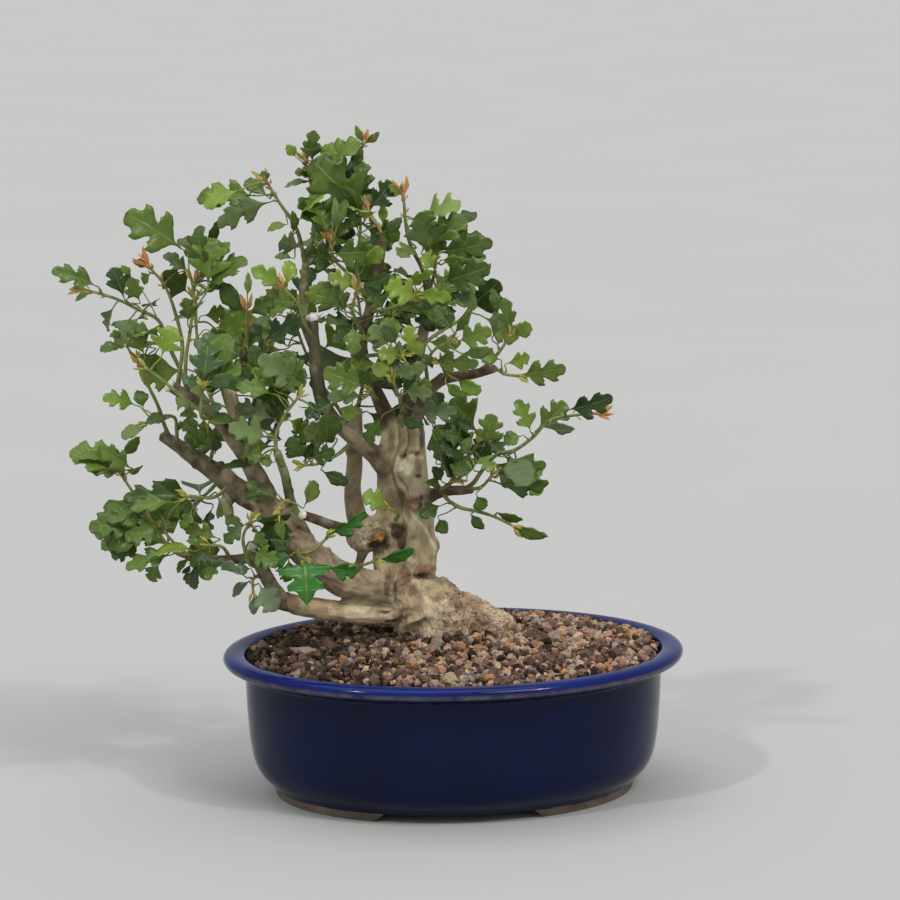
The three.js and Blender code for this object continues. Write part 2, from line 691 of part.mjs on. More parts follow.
    leaves: [
      ["lobed", 0.3, [-109.8, 159, -8], [-119.5, 167.5, -12], 8, 20],
    ],
  },
  {
    name: "shoot_left_blue",
    foot: [[-107, 173, -16], [-112, 172.5, -22]],
    stem: [[-113, 175, -25], [-112, 185, -28]],
    leaves: [
      ["five", 0.98, [-111.5, 188.5, -28], [-108, 211.5, -24], 16, 0],
      ["broad", 0.97, [-109.5, 187.5, -31], [-98, 191.5, -35], 7, 25],
    ],
  },
  {
    name: "shoot_left_centre",
    foot: [[-94.8, 195, -6.2], [-91.9, 205, -8.2]],
    stem: [[-91.6, 213, -11], [-91.4, 220.5, -13]],
    leaves: [
      ["lobed", 0.96, [-90, 221, -15], [-79, 226.5, -18], 8, 15],
      ["broad", 0.03, [-87.5, 192.5, -16], [-88.5, 205.5, -18], 7, 0],
    ],
  },
  {
    name: "shoot_left_gloss",
    foot: [[-99, 183, -5], [-94, 189, 0]],
    stem: [[-88, 194, 1], [-83, 203, -3]],
    leaves: [
      ["five", 0.98, [-83.5, 207, -8], [-65, 217, -16], 12, -20],
      ["broad", 0.95, [-84.5, 208, -1], [-89.5, 214.5, 3], 6.5, 10],
    ],
  },
  {
    name: "shoot_white_left",
    foot: [[-61.5, 208, -12], [-66, 216, -17]],
    stem: [[-67, 221, -18], [-70, 226, -19], [-74, 230, -20]],
    leaves: [
      ["lobed", 0.98, [-75, 231.5, -21], [-89, 240, -26], 9, 15],
      ["broad", 0.95, [-73.5, 232, -18], [-72, 243.5, -14], 7, 20],
      ["lobed", 0.1, [-63.8, 223.5, -20], [-60, 232.5, -22], 8, 20],
    ],
  },
  {
    name: "shoot_crown_left",
    foot: [[-64.7, 240, -4.8], [-66.5, 250.5, -3]],
    stem: [[-69, 259, -4], [-75, 268, -6], [-81, 278, -8]],
    leaves: [
      ["five", 0.72, [-79, 270, -10], [-103.5, 259, -16], 12, 155],
      ["five", 0.8, [-86.5, 272.5, -4], [-109, 272.5, -6], 14, 15],
      ["broad", 0.84, [-81, 272, 0], [-91, 279.5, 4], 7, 20],
      ["plain", 0.98, [-81.5, 279, -9], [-83.5, 283.5, -10], 4.5, 10],
      ["lobed", 0.1, [-66.5, 249, -9], [-76.5, 251, -13], 10, 160],
    ],
  },
  {
    name: "shoot_crown_tall",
    foot: [[-63.6, 245.5, -2], [-61.5, 253, 2]],
    stem: [[-60.5, 264, 3], [-61.5, 276, 3], [-64, 287, 2]],
    leaves: [
      ["lobed", 0.98, [-63, 288.5, 0], [-60, 301.5, -2], 8, 10],
      ["plain", 0.96, [-68.5, 290, 0], [-72.5, 295, -1], 4.5, 10],
      ["lobed", 0.3, [-60, 258.5, -4], [-67, 271.5, -8], 9, 20],
    ],
  },
  {
    name: "shoot_crown_mid",
    foot: [[-32, 240, -6], [-30.5, 254, -7]],
    stem: [[-32, 258, -6], [-36, 263, -5]],
    side: [0.5, [-38, 268, 2], [-43, 278, 6], [-42, 288, 6], [-38, 295, 6]],
    leaves: [
      ["five", 0.98, [-38, 264, -6], [-61, 288, -12], 26, 0],
      ["five", 0.95, [-36, 266, -3], [-26, 278.5, 1], 12, 15],
      ["plain", 0.3, [-30, 260, -2], [-30, 268.5, -2], 4, 10],
      ["plain", 1.98, [-38.5, 296, 6], [-41.5, 303.5, 5], 3, 0],
      ["plain", 1.97, [-37, 295.5, 6], [-31, 300.5, 6], 3, 20],
      ["plain", 1.7, [-43, 285, 3], [-39, 294, 1], 5, 10],
    ],
  },
  {
    name: "shoot_crown_low",
    foot: [[-36.2, 224, -4], [-41, 232, -10]],
    stem: [[-47, 238.5, -13], [-52, 244, -14], [-53, 251, -15]],
    leaves: [
      ["five", 0.62, [-53, 246.5, -18], [-34.5, 247, -15], 15, 10],
      ["five", 0.75, [-54, 248, -10], [-50, 259.5, -8], 10, 10],
      ["broad", 0.15, [-38, 240.5, -17], [-31, 249.5, -20], 7, 20],
      ["plain", 0.98, [-52.5, 258, -15], [-51, 272, -14], 3.5, 20],
    ],
  },
  {
    name: "shoot_crown_right",
    foot: [[-10.6, 230, 19], [-13, 240, 12]],
    stem: [[-17, 248, 4], [-19.5, 257, 1], [-20.5, 271.5, 0]],
    leaves: [
      ["five", 0.98, [-21, 272, 0], [-27, 276.5, -2], 6, 10],
      ["broad", 0.5, [-18, 261.5, -2], [-6, 264.5, -5], 6, 35],
      ["lobed", 0.15, [-10, 245, -2], [-10.5, 260.5, -4], 11, 10],
    ],
  },
  {
    name: "shoot_right_top",
    foot: [[-10.4, 227, 20], [-9, 231, 10]],
    stem: [[-8, 234, 1], [-7, 238.5, -5], [-6.5, 243, -9]],
    leaves: [
      ["five", 0.98, [-5.5, 246, -10], [19, 251, -16], 13, 15],
      ["plain", 0.9, [-3, 243, -12], [7.5, 243, -16], 6, 30],
      ["five", 0.6, [-4, 233, -12], [18, 240.5, -20], 15, 10],
      ["lobed", 0.7, [-7, 239, -14], [-12.5, 246, -17], 8, 10],
    ],
  },
  {
    name: "shoot_right_lime",
    foot: [[-36.4, 220, -4], [-30, 221, -11]],
    stem: [[-24, 222.5, -15], [-17, 226.5, -17]],
    leaves: [
      ["lobed", 0.98, [-15, 229.5, -18], [0.5, 226, -24], 8, 20],
      ["five", 0.8, [-15, 225, -20], [-30, 232.5, -24], 13, 10],
    ],
  },
  {
    name: "shoot_front_up",
    foot: [[-38.8, 209, -2], [-41, 213, -12]],
    stem: [[-42.5, 216, -20], [-44, 222, -26], [-42, 229, -29]],
    leaves: [
      ["five", 0.94, [-43, 231.5, -31], [-55, 236.5, -35], 10, 15],
      ["lobed", 0.98, [-40, 232, -29], [-27, 236, -27], 8, 20],
      ["lobed", 0.5, [-49.5, 221.5, -29], [-59, 233.5, -33], 10, 10],
      ["lobed", 0.3, [-47, 219, -19], [-52, 233, -16], 8, 20],
      ["five", 0.2, [-30, 221, -24], [-37, 230, -27], 11, 10],
    ],
  },
  {
    name: "shoot_front_pale",
    foot: [[-39.6, 200, 0], [-34, 200.5, -12]],
    stem: [[-29, 201, -22], [-25, 202, -31], [-22, 201, -37]],
    leaves: [
      ["five", 0.5, [-28, 204.5, -33], [-36.5, 213.5, -37], 12, 10],
      ["lobed", 0.4, [-24, 211, -27], [-31.5, 215.5, -25], 8, 10],
      ["broad", 0.9, [-24.5, 205, -39], [-30.5, 214, -43], 7, 15],
      ["lobed", 0.98, [-19.5, 204, -38], [-19, 214, -39], 8, 15],
      ["lobed", 0.8, [-23.5, 198.5, -39], [-33, 201.5, -44], 8, 20],
    ],
  },
  {
    name: "shoot_top_front",
    foot: [[-10, 185, 0], [-11, 191, -11]],
    stem: [[-11, 197, -19], [-7, 203, -26], [-1, 206, -30]],
    leaves: [
      ["lobed", 0.6, [-11, 206.5, -22], [4.5, 205.5, -24], 8, 20],
      ["five", 0.98, [3, 206.5, -31], [18.5, 211.5, -36], 12, 10],
      ["five", 0.9, [1, 211, -27], [-7.5, 222.5, -25], 9, 10],
    ],
  },
  {
    name: "shoot_top_low",
    foot: [[-2, 189.3, -4.8], [-2.5, 191.5, -11]],
    stem: [[-3.5, 194, -16], [-5, 196.5, -19]],
    leaves: [
      ["five", 0.98, [-8.5, 198.5, -21], [12, 196, -28], 11, 15],
      ["broad", 0.2, [2.5, 189, -18], [13.5, 183.5, -24], 7, 20],
    ],
  },
  {
    name: "shoot_top_right",
    foot: [[11, 191.8, -10.2], [17, 196.5, -10]],
    stem: [[22, 202, -11], [26, 208, -12]],
    leaves: [
      ["lobed", 0.98, [25.5, 209.5, -12], [23.5, 226, -14], 8, 20],
      ["plain", 0.8, [21, 219, -8], [18.5, 230.5, -6], 5, 10],
      ["broad", 0.95, [28, 209, -14], [35.5, 214, -17], 7, 20],
    ],
  },
  {
    name: "shoot_right_tip",
    foot: [[12, 192, -10.4], [20.5, 193.6, -12]],
    stem: [[23.5, 191.5, -13], [29, 190.5, -15]],
    leaves: [
      ["five", 0.98, [31, 191, -16], [51.5, 194, -22], 12, 15],
      ["lobed", 0.5, [24.5, 196, -11], [35, 199.5, -8], 8, 20],
      ["broad", 0.3, [21.5, 198, -15], [13, 199.5, -19], 7, 20],
    ],
  },
  {
    name: "shoot_right_far",
    foot: [[5, 138.6, -4.5], [9.8, 142, -6.4]],
    stem: [
      [12.5, 146, -7], [20, 154.5, -8], [28, 156.5, -8], [36, 162, -8], [44, 170, -9], [56, 172.4, -11],
      [64, 173, -12],
    ],
    leaves: [
      ["five", 0.6, [38, 165.5, -4], [51.5, 178, 0], 15, 10],
      ["five", 0.55, [35.5, 165, -11], [29.5, 179.5, -13], 10, 15],
      ["five", 0.8, [52, 174.8, -13], [72.5, 180.5, -18], 11, 20],
      ["broad", 0.5, [31, 163, -14], [23.5, 160.5, -17], 7, 20],
    ],
  },
  {
    name: "shoot_right_mid",
    foot: [[-3, 138, 0.5], [0.5, 144.5, -6]],
    stem: [[4, 150, -10], [8.5, 155, -13], [11.5, 160, -14]],
    leaves: [
      ["five", 0.9, [14.5, 159.5, -17], [18, 173.5, -21], 13, 10],
      ["lobed", 0.98, [11, 165.5, -12], [1, 170, -9], 8, 20],
      ["lobed", 0.5, [-8.5, 168, -16], [-4, 151.5, -19], 8, 20],
    ],
  },
  {
    name: "shoot_right_out",
    foot: [[7, 138.8, -6], [12.5, 139.6, -9.5]],
    stem: [[15, 141.5, -11], [17, 144, -12]],
    leaves: [
      ["five", 0.98, [18.5, 146, -12], [42.5, 150.5, -14], 10, 20],
      ["lobed", 0.85, [18.5, 142.5, -15], [44, 142, -22], 8, 35],
      ["broad", 0.2, [11, 136, -13], [14.5, 129.5, -15], 7, 20],
    ],
  },
  {
    name: "shoot_right_low",
    foot: [[-4, 137, 1], [-1.5, 133.5, -6]],
    stem: [[4, 130.3, -9], [12, 128.5, -11], [20, 125.6, -13], [27, 122, -15]],
    leaves: [
      ["plain", 0.98, [28.3, 121.2, -15], [43.5, 117, -20], 5, 30],
      ["lobed", 0.05, [-5, 131.5, -12], [-15, 126.5, -16], 8, 20],
    ],
  },
  {
    name: "shoot_right_near",
    foot: [[-6, 137.8, 2], [-2.5, 140.5, -7]],
    stem: [[-1, 141.8, -11], [2, 142.8, -14]],
    leaves: [
      ["five", 0.98, [3.5, 144.8, -15], [-4.5, 153.5, -19], 9, 15],
      ["broad", 0.9, [6.5, 144, -12], [5.5, 154.5, -10], 7, 20],
    ],
  },
  {
    name: "shoot_front_broad",
    foot: [[-33, 180, 3], [-35, 182, -9]],
    stem: [[-35.5, 183.5, -18], [-36, 184.8, -26], [-37, 184.6, -31]],
    leaves: [
      ["five", 0.98, [-39, 186, -34], [-57.5, 193.5, -41], 15, 5],
      ["lobed", 0.8, [-39, 181.5, -30], [-56, 181.5, -34], 8, 25],
      ["lobed", 0.5, [-44.5, 179.5, -26], [-47, 170.5, -28], 9, 10],
      ["five", 0.3, [-52, 179, -20], [-66, 173, -24], 11, 15],
      ["lobed", 0.4, [-49, 172, -20], [-58, 166, -22], 8, 20],
    ],
  },
  {
    name: "shoot_front_right",
    foot: [[-20.5, 173.5, 5], [-22.5, 177, -9]],
    stem: [[-23, 178.5, -17], [-24, 182.5, -25], [-26, 188, -30]],
    leaves: [
      ["lobed", 0.98, [-28, 192.5, -32], [-11.5, 195.5, -34], 8, 25],
      ["five", 0.6, [-21.5, 184.5, -27], [-8.5, 183, -31], 9, 15],
      ["five", 0.3, [-16, 175.5, -20], [3, 175, -27], 10, 15],
      ["lobed", 0.1, [-31.5, 172, -17], [-38.5, 160.5, -20], 8, 20],
    ],
  },
  {
    name: "shoot_front_left",
    foot: [[-44, 162.5, -3], [-50, 156.5, -11]],
    stem: [[-55, 153.5, -15], [-61, 151, -18], [-66, 150.5, -19]],
    leaves: [
      ["five", 0.85, [-64, 154, -22], [-53, 157, -27], 10, 10],
      ["broad", 0.98, [-67, 152.5, -18], [-61.5, 160, -15], 7, 20],
      ["broad", 0.5, [-58.5, 148, -21], [-47, 142.5, -26], 6, 25],
      ["broad", 0.4, [-60, 161, -13], [-53.5, 167, -11], 7, 20],
    ],
  },
];

// Shoots on the far side. Their leaves stand round the stem by a rule instead of being placed one by one.
const BACK_SHOOTS = [
  {
    name: "shoot_back_left",
    foot: [[-87, 140, -11], [-90, 150, 4]],
    stem: [[-94, 160, 16], [-100, 174, 26], [-104, 188, 30]],
    count: 4,
  },
  {
    name: "shoot_back_left_low",
    foot: [[-104, 146, 0], [-108, 141, 8]],
    stem: [[-114, 135, 16], [-120, 128, 22]],
    count: 4,
  },
  {
    name: "shoot_back_left_top",
    foot: [[-104, 171, -16], [-108, 181, -4]],
    stem: [[-112, 196, 8], [-114, 212, 16], [-114, 226, 20]],
    count: 4,
  },
  {
    name: "shoot_back_mid",
    foot: [[-45, 166, 18], [-52, 178, 24]],
    stem: [[-60, 190, 30], [-66, 204, 36], [-70, 216, 38]],
    count: 4,
  },
  {
    name: "shoot_back_centre",
    foot: [[-43, 174, 18], [-40, 186, 24]],
    stem: [[-38, 200, 34], [-40, 216, 40], [-42, 230, 42]],
    count: 4,
  },
  {
    name: "shoot_back_crown",
    foot: [[-36, 222, -4], [-40, 230, 8]],
    stem: [[-42, 242, 16], [-40, 256, 20], [-40, 266, 20]],
    count: 4,
  },
  {
    name: "shoot_back_right",
    foot: [[-14, 204, 22], [-6, 210, 28]],
    stem: [[4, 216, 34], [12, 224, 36]],
    count: 4,
  },
  {
    name: "shoot_back_right_low",
    foot: [[-8, 137, 4], [-2, 141, 14]],
    stem: [[8, 148, 24], [16, 158, 30]],
    count: 4,
  },
];

function pointAt(line, share) {
  const lengths = line.slice(1).map((point, i) => point.distanceTo(line[i]));
  let left = share * lengths.reduce((sum, length) => sum + length, 0);
  let run = 0;
  while (run < lengths.length - 1 && left > lengths[run]) {
    left -= lengths[run];
    run += 1;
  }
  const way = line[run + 1].clone().sub(line[run]).normalize();
  return { spot: line[run].clone().addScaledVector(way, left), way };
}

// A green stem: a ring of corners at every point of its line
function stemBody(line, swell = 0) {
  const points = [];
  const faces = [];
  const across = new THREE.Vector3(0.31, 0.17, 0.93);
  line.forEach((point, row) => {
    const before = line[Math.max(row - 1, 0)];
    const after = line[Math.min(row + 1, line.length - 1)];
    const way = after.clone().sub(before).normalize();
    across.addScaledVector(way, -across.dot(way)).normalize();
    const up = new THREE.Vector3().crossVectors(way, across);
    const radius = THREE.MathUtils.lerp(STEM_START, STEM_END, row / (line.length - 1)) + swell;
    for (let i = 0; i < STEM_SIDES; i++) {
      const angle = (i / STEM_SIDES) * 2 * Math.PI;
      const spot = point.clone().addScaledVector(across, Math.cos(angle) * radius);
      points.push(spot.addScaledVector(up, Math.sin(angle) * radius));
      if (row > 0) {
        const j = (i + 1) % STEM_SIDES;
        const [a, b] = [(row - 1) * STEM_SIDES + i, (row - 1) * STEM_SIDES + j];
        faces.push(a, b, b + STEM_SIDES, a, b + STEM_SIDES, a + STEM_SIDES);
      }
    }
  });
  const last = (line.length - 1) * STEM_SIDES;
  for (let i = 1; i < STEM_SIDES - 1; i++) {
    faces.push(0, i + 1, i, last, last + i, last + i + 1);
  }
  const geometry = new THREE.BufferGeometry();
  geometry.setAttribute("position", new THREE.Float32BufferAttribute(points.flatMap((p) => p.toArray()), 3));
  geometry.setIndex(faces);
  return solid(geometry);
}

// The part of a stem that stands clear of the bark
function outOfWood(line, wood) {
  const whole = line.slice(1).reduce((sum, point, i) => sum + point.distanceTo(line[i]), 0);
  for (let ahead = 0; ahead < whole; ahead += STEM_STEP) {
    let passed = 0;
    const rest = line.filter((point, i) => {
      passed += i > 0 ? point.distanceTo(line[i - 1]) : 0;
      return passed > ahead + STEM_STEP;
    });
    const out = [pointAt(line, ahead / whole).spot, ...rest];
    if (!meets(stemBody(out, GAP), [wood])) {
      return out;
    }
  }
  return line;
}

// The stems of a shoot as lines, the main one first
function stemLines(shoot) {
  const main = [shoot.foot[1], ...shoot.stem].map((row) => seen(...row));
  if (shoot.side === undefined) {
    return [main];
  }
  const [share, ...rows] = shoot.side;
  return [main, [pointAt(main, share).spot, ...rows.map((row) => seen(...row))]];
}

// The leaf of a row, moved along its line of sight
function rowLeaf(lines, row, shift) {
  const [kind, where, base, tip, width, degrees] = row;
  const turn = THREE.MathUtils.degToRad(degrees);
  const line = lines[Math.floor(where)];
  return {
    kind,
    root: pointAt(line, where % 1).spot,
    base: seen(base[0], base[1], base[2] + shift),
    tip: seen(tip[0], tip[1], tip[2] + shift),
    width: width / Math.max(Math.abs(Math.cos(turn)), NARROWEST_VIEW),
    turn,
  };
}

// A leaf of a shoot on the far side: it stands out from the stem, and each is a step further round
function roundLeaf(line, index, count, draws, swing) {
  const between = ([least, most], share) => THREE.MathUtils.lerp(least, most, share);
  const { spot, way } = pointAt(line, between([BACK_FIRST, BACK_LAST], index / (count - 1)));
  const across = new THREE.Vector3(0, 0, 1).cross(way).normalize();
  const up = new THREE.Vector3().crossVectors(way, across);
  const angle = index * GOLDEN_ANGLE + swing;
  const out = across.multiplyScalar(Math.cos(angle)).addScaledVector(up, Math.sin(angle));
  const ahead = out.clone().addScaledVector(way, between(BACK_LEAN, draws[0])).normalize();
  const base = spot.clone().addScaledVector(ahead, between(BACK_STALK, draws[1]));
  const length = between(BACK_LENGTH, draws[2]);
  const tip = base.clone().addScaledVector(ahead, length);
  tip.z -= length * BACK_DROOP;
  const kind = draws[3] < BACK_FIVE_LOBED ? "five" : "lobed";
  const width = length * between(BACK_WIDTH, draws[1]);
  return { kind, root: spot, base, tip, width, turn: between(BACK_TWIST, draws[0]) };
}

// Where a leaf would touch something, it moves on its line of sight, or round its stem, until it is clear
function boxesMeet(a, b) {
  return a.min.every((low, axis) => low < b.max[axis] && b.min[axis] < a.max[axis]);
}

function meets(body, others) {
  const box = body.boundingBox();
  return others.some((other) => boxesMeet(box, other.boundingBox()) && !body.intersect(other).isEmpty());
}

function guardOf(leaf) {
  const ahead = leaf.tip.clone().sub(leaf.base).normalize();
  const tip = leaf.tip.clone().addScaledVector(ahead, GAP);
  return solid(leafGeometry({ ...leaf, tip, width: leaf.width + 2 * GAP }, GUARD_THICKNESS));
}

function bladeGuardOf(leaf) {
  const ahead = leaf.tip.clone().sub(leaf.base).normalize();
  const root = leaf.base.clone().addScaledVector(ahead, -1);
  return guardOf({ ...leaf, root });
}

function growLeaves(shoots, wood, seals) {
  const grown = shoots.map((shoot) => {
    const lines = stemLines(shoot);
    const out = outOfWood([seen(...shoot.foot[0]), ...lines[0]], wood);
    const stems = [out, ...lines.slice(1)].map((line) => stemBody(line));
    return { shoot, lines, stems, leaves: [], guards: [] };
  });
  const settle = (plant, candidates) => {
    const neighbours = grown.filter((other) => other !== plant);
    const others = neighbours.flatMap((other) => [...other.stems, ...other.leaves]);
    let second = null;
    for (const leaf of candidates) {
      const guard = guardOf(leaf);
      if (meets(guard, [wood, ...seals, ...others])) {
        continue;
      }
      const body = solid(leafGeometry(leaf, BLADE_THICKNESS));
      const bladeGuard = bladeGuardOf(leaf);
      if (!meets(bladeGuard, plant.leaves) && !meets(body, plant.guards)) {
        plant.leaves.push(body);
        plant.guards.push(bladeGuard);
        return;
      }
      second = second ?? { body, bladeGuard };
    }
    if (second !== null) {
      plant.leaves.push(second.body);
      plant.guards.push(second.bladeGuard);
    }
  };
  for (const plant of grown) {
    for (const row of plant.shoot.leaves ?? []) {
      settle(plant, SHIFTS.map((shift) => rowLeaf(plant.lines, row, shift)));
    }
  }
  const random = seededRandom(5);
  for (const plant of grown.filter(({ shoot }) => shoot.count !== undefined)) {
    for (let i = 0; i < plant.shoot.count; i++) {
      const draws = [random(), random(), random(), random()];
      settle(plant, SWINGS.map((swing) => roundLeaf(plant.lines[0], i, plant.shoot.count, draws, swing)));
    }
  }
  return grown;
}

// Assembly
const MATERIALS = {
  glaze: { color: 0x16203f, roughness: 0.25, metalness: 0 },
  soil: { color: 0x75644f, roughness: 0.95, metalness: 0 },
  net: { color: 0x2a2c2e, roughness: 0.6, metalness: 0 },
  bark: { color: 0x9a9081, roughness: 0.9, metalness: 0 },
  paste: { color: 0xe9e6dd, roughness: 0.7, metalness: 0 },
  leaf: { color: 0x55702a, roughness: 0.55, metalness: 0 },
};

const pieces = [];
const piece = (name, material, body) => pieces.push({ name, material, body });

const limbs = [
  ...ROOT_ROWS.map((rows) => woodLimb(rows, ROOT_SIDES)),
  ...TRUNK_ROWS.map((rows) => woodLimb(rows, TRUNK_SIDES)),
  ...Object.values(LIMB_ROWS).map((rows) => woodLimb(rows, sidesFor(rows))),
];
const wood = fused(limbs);
const seals = Object.entries(SEALED_LIMBS).map(([name, limbName]) => [name, seal(LIMB_ROWS[limbName])]);
const plants = growLeaves([...SHOOTS, ...BACK_SHOOTS], wood, seals.map(([, body]) => body));

piece("pot", "glaze", pot());
const sunken = [...ROOT_ROWS, ...TRUNK_ROWS].map((rows) => woodLimb(rows, ROOT_SIDES, BARK_CLEARANCE));
piece("soil", "soil", soil(sunken));
piece("drain_screen_left", "net", drainScreen(-1));
piece("drain_screen_right", "net", drainScreen(1));
piece("tree", "bark", wood);
for (const [name, body] of seals) {
  piece(name, "paste", body);
}
for (const plant of plants) {
  piece(plant.shoot.name, "leaf", fused([...plant.stems, ...plant.leaves]));
}

// The group's origin is under the middle of the whole object
const whole = new THREE.Box3();
for (const { body } of pieces) {
  const { min, max } = body.boundingBox();
  whole.expandByPoint(new THREE.Vector3(...min)).expandByPoint(new THREE.Vector3(...max));
}
const middle = whole.getCenter(new THREE.Vector3());

const group = new THREE.Group();
group.name = "hawthorn_bonsai";
for (const { name, material, body } of pieces) {
  const geometry = geometryOf(body);
  geometry.translate(-middle.x, -middle.y, 0);
  const mesh = new THREE.Mesh(geometry, new THREE.MeshStandardMaterial(MATERIALS[material]));
  mesh.name = name;
  group.add(mesh);
}

export default group;
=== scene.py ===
# Hawthorn bonsai in a glazed oval pot.
# Lengths are millimetres until a mesh is made. +Z is up and the pot's long side lies along X.
import math
import random

import bmesh
import bpy
import numpy as np
from mathutils import Matrix, Vector, noise
from mathutils.bvhtree import BVHTree
from mathutils.kdtree import KDTree


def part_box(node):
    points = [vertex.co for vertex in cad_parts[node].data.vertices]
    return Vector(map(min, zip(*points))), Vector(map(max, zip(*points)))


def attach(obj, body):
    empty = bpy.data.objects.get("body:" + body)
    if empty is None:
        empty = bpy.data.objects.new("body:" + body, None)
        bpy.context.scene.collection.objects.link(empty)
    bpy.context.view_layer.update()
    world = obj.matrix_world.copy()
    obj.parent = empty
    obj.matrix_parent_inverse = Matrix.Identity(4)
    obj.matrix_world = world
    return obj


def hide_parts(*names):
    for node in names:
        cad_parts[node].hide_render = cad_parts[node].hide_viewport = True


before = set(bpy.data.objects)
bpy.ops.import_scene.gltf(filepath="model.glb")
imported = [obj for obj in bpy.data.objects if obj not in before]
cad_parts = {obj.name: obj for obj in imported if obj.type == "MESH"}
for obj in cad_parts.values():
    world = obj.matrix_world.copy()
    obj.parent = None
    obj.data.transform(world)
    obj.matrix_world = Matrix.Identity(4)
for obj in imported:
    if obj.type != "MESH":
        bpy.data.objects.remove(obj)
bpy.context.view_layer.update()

MM = 0.001
BODY = "root"

# Seeds of the random draws
WOOD_SEED = 7
PASTE_SEED = 21
GRAIN_SEED = 3
SPRAY_SEED = 17
BACK_SEED = 5
INNER_SEED = 29
NOISE_SEED = 11
noise.seed_set(NOISE_SEED)

# The eye that the tree's places are set down from
EYE_DISTANCE = 1400.0
EYE_HEIGHT = 398.0
FRONT_TURN = math.radians(6.1)
FRONT_COS = math.cos(FRONT_TURN)
FRONT_SIN = math.sin(FRONT_TURN)

# Camera
CAMERA_PLACE = (-0.9, -1400.0, 398.0)
CAMERA_PITCH = math.radians(9.77)
CAMERA_ROLL = math.radians(0.5)
FOCAL_PIXELS = 3149.0
IMAGE_PIXELS = 900.0
SENSOR_WIDTH = 36.0
CAMERA_FARTHEST = 200.0

# Pot
POT_LENGTH = 210.0
POT_DEPTH = 166.0
FOOT_HEIGHT = 4.5
FLOOR_TOP = 9.5
POT_SIDES = 168
NOTCH_TOP_WIDTH = 66.0
NOTCH_SLANT = 6.0
NOTCH_ACROSS = -4.0
DRAIN_RADIUS = 8.0
DRAIN_ACROSS = 38.0
DRAIN_SIDES = 40

# Soil
SOIL_EDGE_HEIGHT = 64.6
SOIL_EDGE_INSET = 10.6
SOIL_CROWN = 6.0
SOIL_CURVE = 2.2
SOIL_BED_INSET = 12.0
SOIL_BED_SINK = 1.6
SOIL_RINGS = 46
SOIL_SIDES = 120
GRAIN_PITCH = 3.2
GRAIN_KINDS = 18
GRAIN_CUTS = 8
DARK_GRAINS = 0.26
DARK_OR_BROWN_GRAINS = 0.64

# Bark
BARK_VOXEL = 0.78
BARK_SIDES = 20
CARVED_DEEPEST = -4.5
CARVED_HIGHEST = 3.0

# Foliage
BLADE_THICKNESS = 0.26
SOLID_BLADE_THICKNESS = 0.8
BLADE_ARCH = 0.1
BLADE_FOLD = 0.3
NARROWEST_VIEW = 0.3
STEM_SIDES = 8
STALK_SIDES = 6
STEM_START = 1.05
STEM_END = 0.6
GOLDEN_ANGLE = math.radians(137.5)
BACK_FIRST = 0.3
TOOTH_DEPTH = 0.11
LEAFLETS = 5
SCALES = 5
SCALE_STEP = 2.1
UNDERSIDES = 0.12
INNER_UNDERSIDES = 0.15
SWINGS = (0, 0.3, -0.3, 0.6, -0.6, 0.9, -0.9, 1.3, -1.3, 1.7, -1.7, 2.2, -2.2, 2.7, -2.7)
SHIFTS = (0, -2.5, 2.5, -5, 5, -7.5, 7.5, -10, 10, -13, 13, -16, 16, -20, 20, -24, 24, -29, 29)

pot_low, pot_high = (np.array(corner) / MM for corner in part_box("pot"))
POT_MIDDLE = (pot_low + pot_high) / 2
POT_MIDDLE[2] = 0.0


def seen(across, up, depth):
    """A place on the line of sight through (across, up) of the upright plane through the pot's middle."""
    grow = (EYE_DISTANCE + depth) / EYE_DISTANCE
    side = across * grow
    height = EYE_HEIGHT + (up - EYE_HEIGHT) * grow
    return from_view(side, depth, height)


def from_view(side, away, height):
    """A place from its distance to the side, away from the eye and up."""
    x = side * FRONT_COS + away * FRONT_SIN
    y = away * FRONT_COS - side * FRONT_SIN
    return np.array([x, y, height]) + POT_MIDDLE


def as_seen(points):
    """The other way round: rows of (across, up, depth) for rows of places."""
    local = points - POT_MIDDLE
    side = local[:, 0] * FRONT_COS - local[:, 1] * FRONT_SIN
    depth = local[:, 0] * FRONT_SIN + local[:, 1] * FRONT_COS
    grow = (EYE_DISTANCE + depth) / EYE_DISTANCE
    return np.column_stack([side / grow, EYE_HEIGHT + (local[:, 2] - EYE_HEIGHT) / grow, depth])


# Where the tree is looked at from
EYE = from_view(0.0, -EYE_DISTANCE, EYE_HEIGHT)


def unit(vector):
    return vector / max(np.linalg.norm(vector), 1e-9)


def rotated(vector, axis, angle):
    cos, sin = math.cos(angle), math.sin(angle)
    return vector * cos + np.cross(axis, vector) * sin + axis * (axis @ vector) * (1 - cos)


def smooth_step(low, high, value):
    share = np.clip((value - low) / (high - low), 0, 1)
    return share * share * (3 - 2 * share)


def linear(red, green, blue):
    """A screen colour, 0 to 255, as linear light."""
    shares = np.array([red, green, blue]) / 255
    return np.where(shares <= 0.04045, shares / 12.92, ((shares + 0.055) / 1.055) ** 2.4)


# Shapes


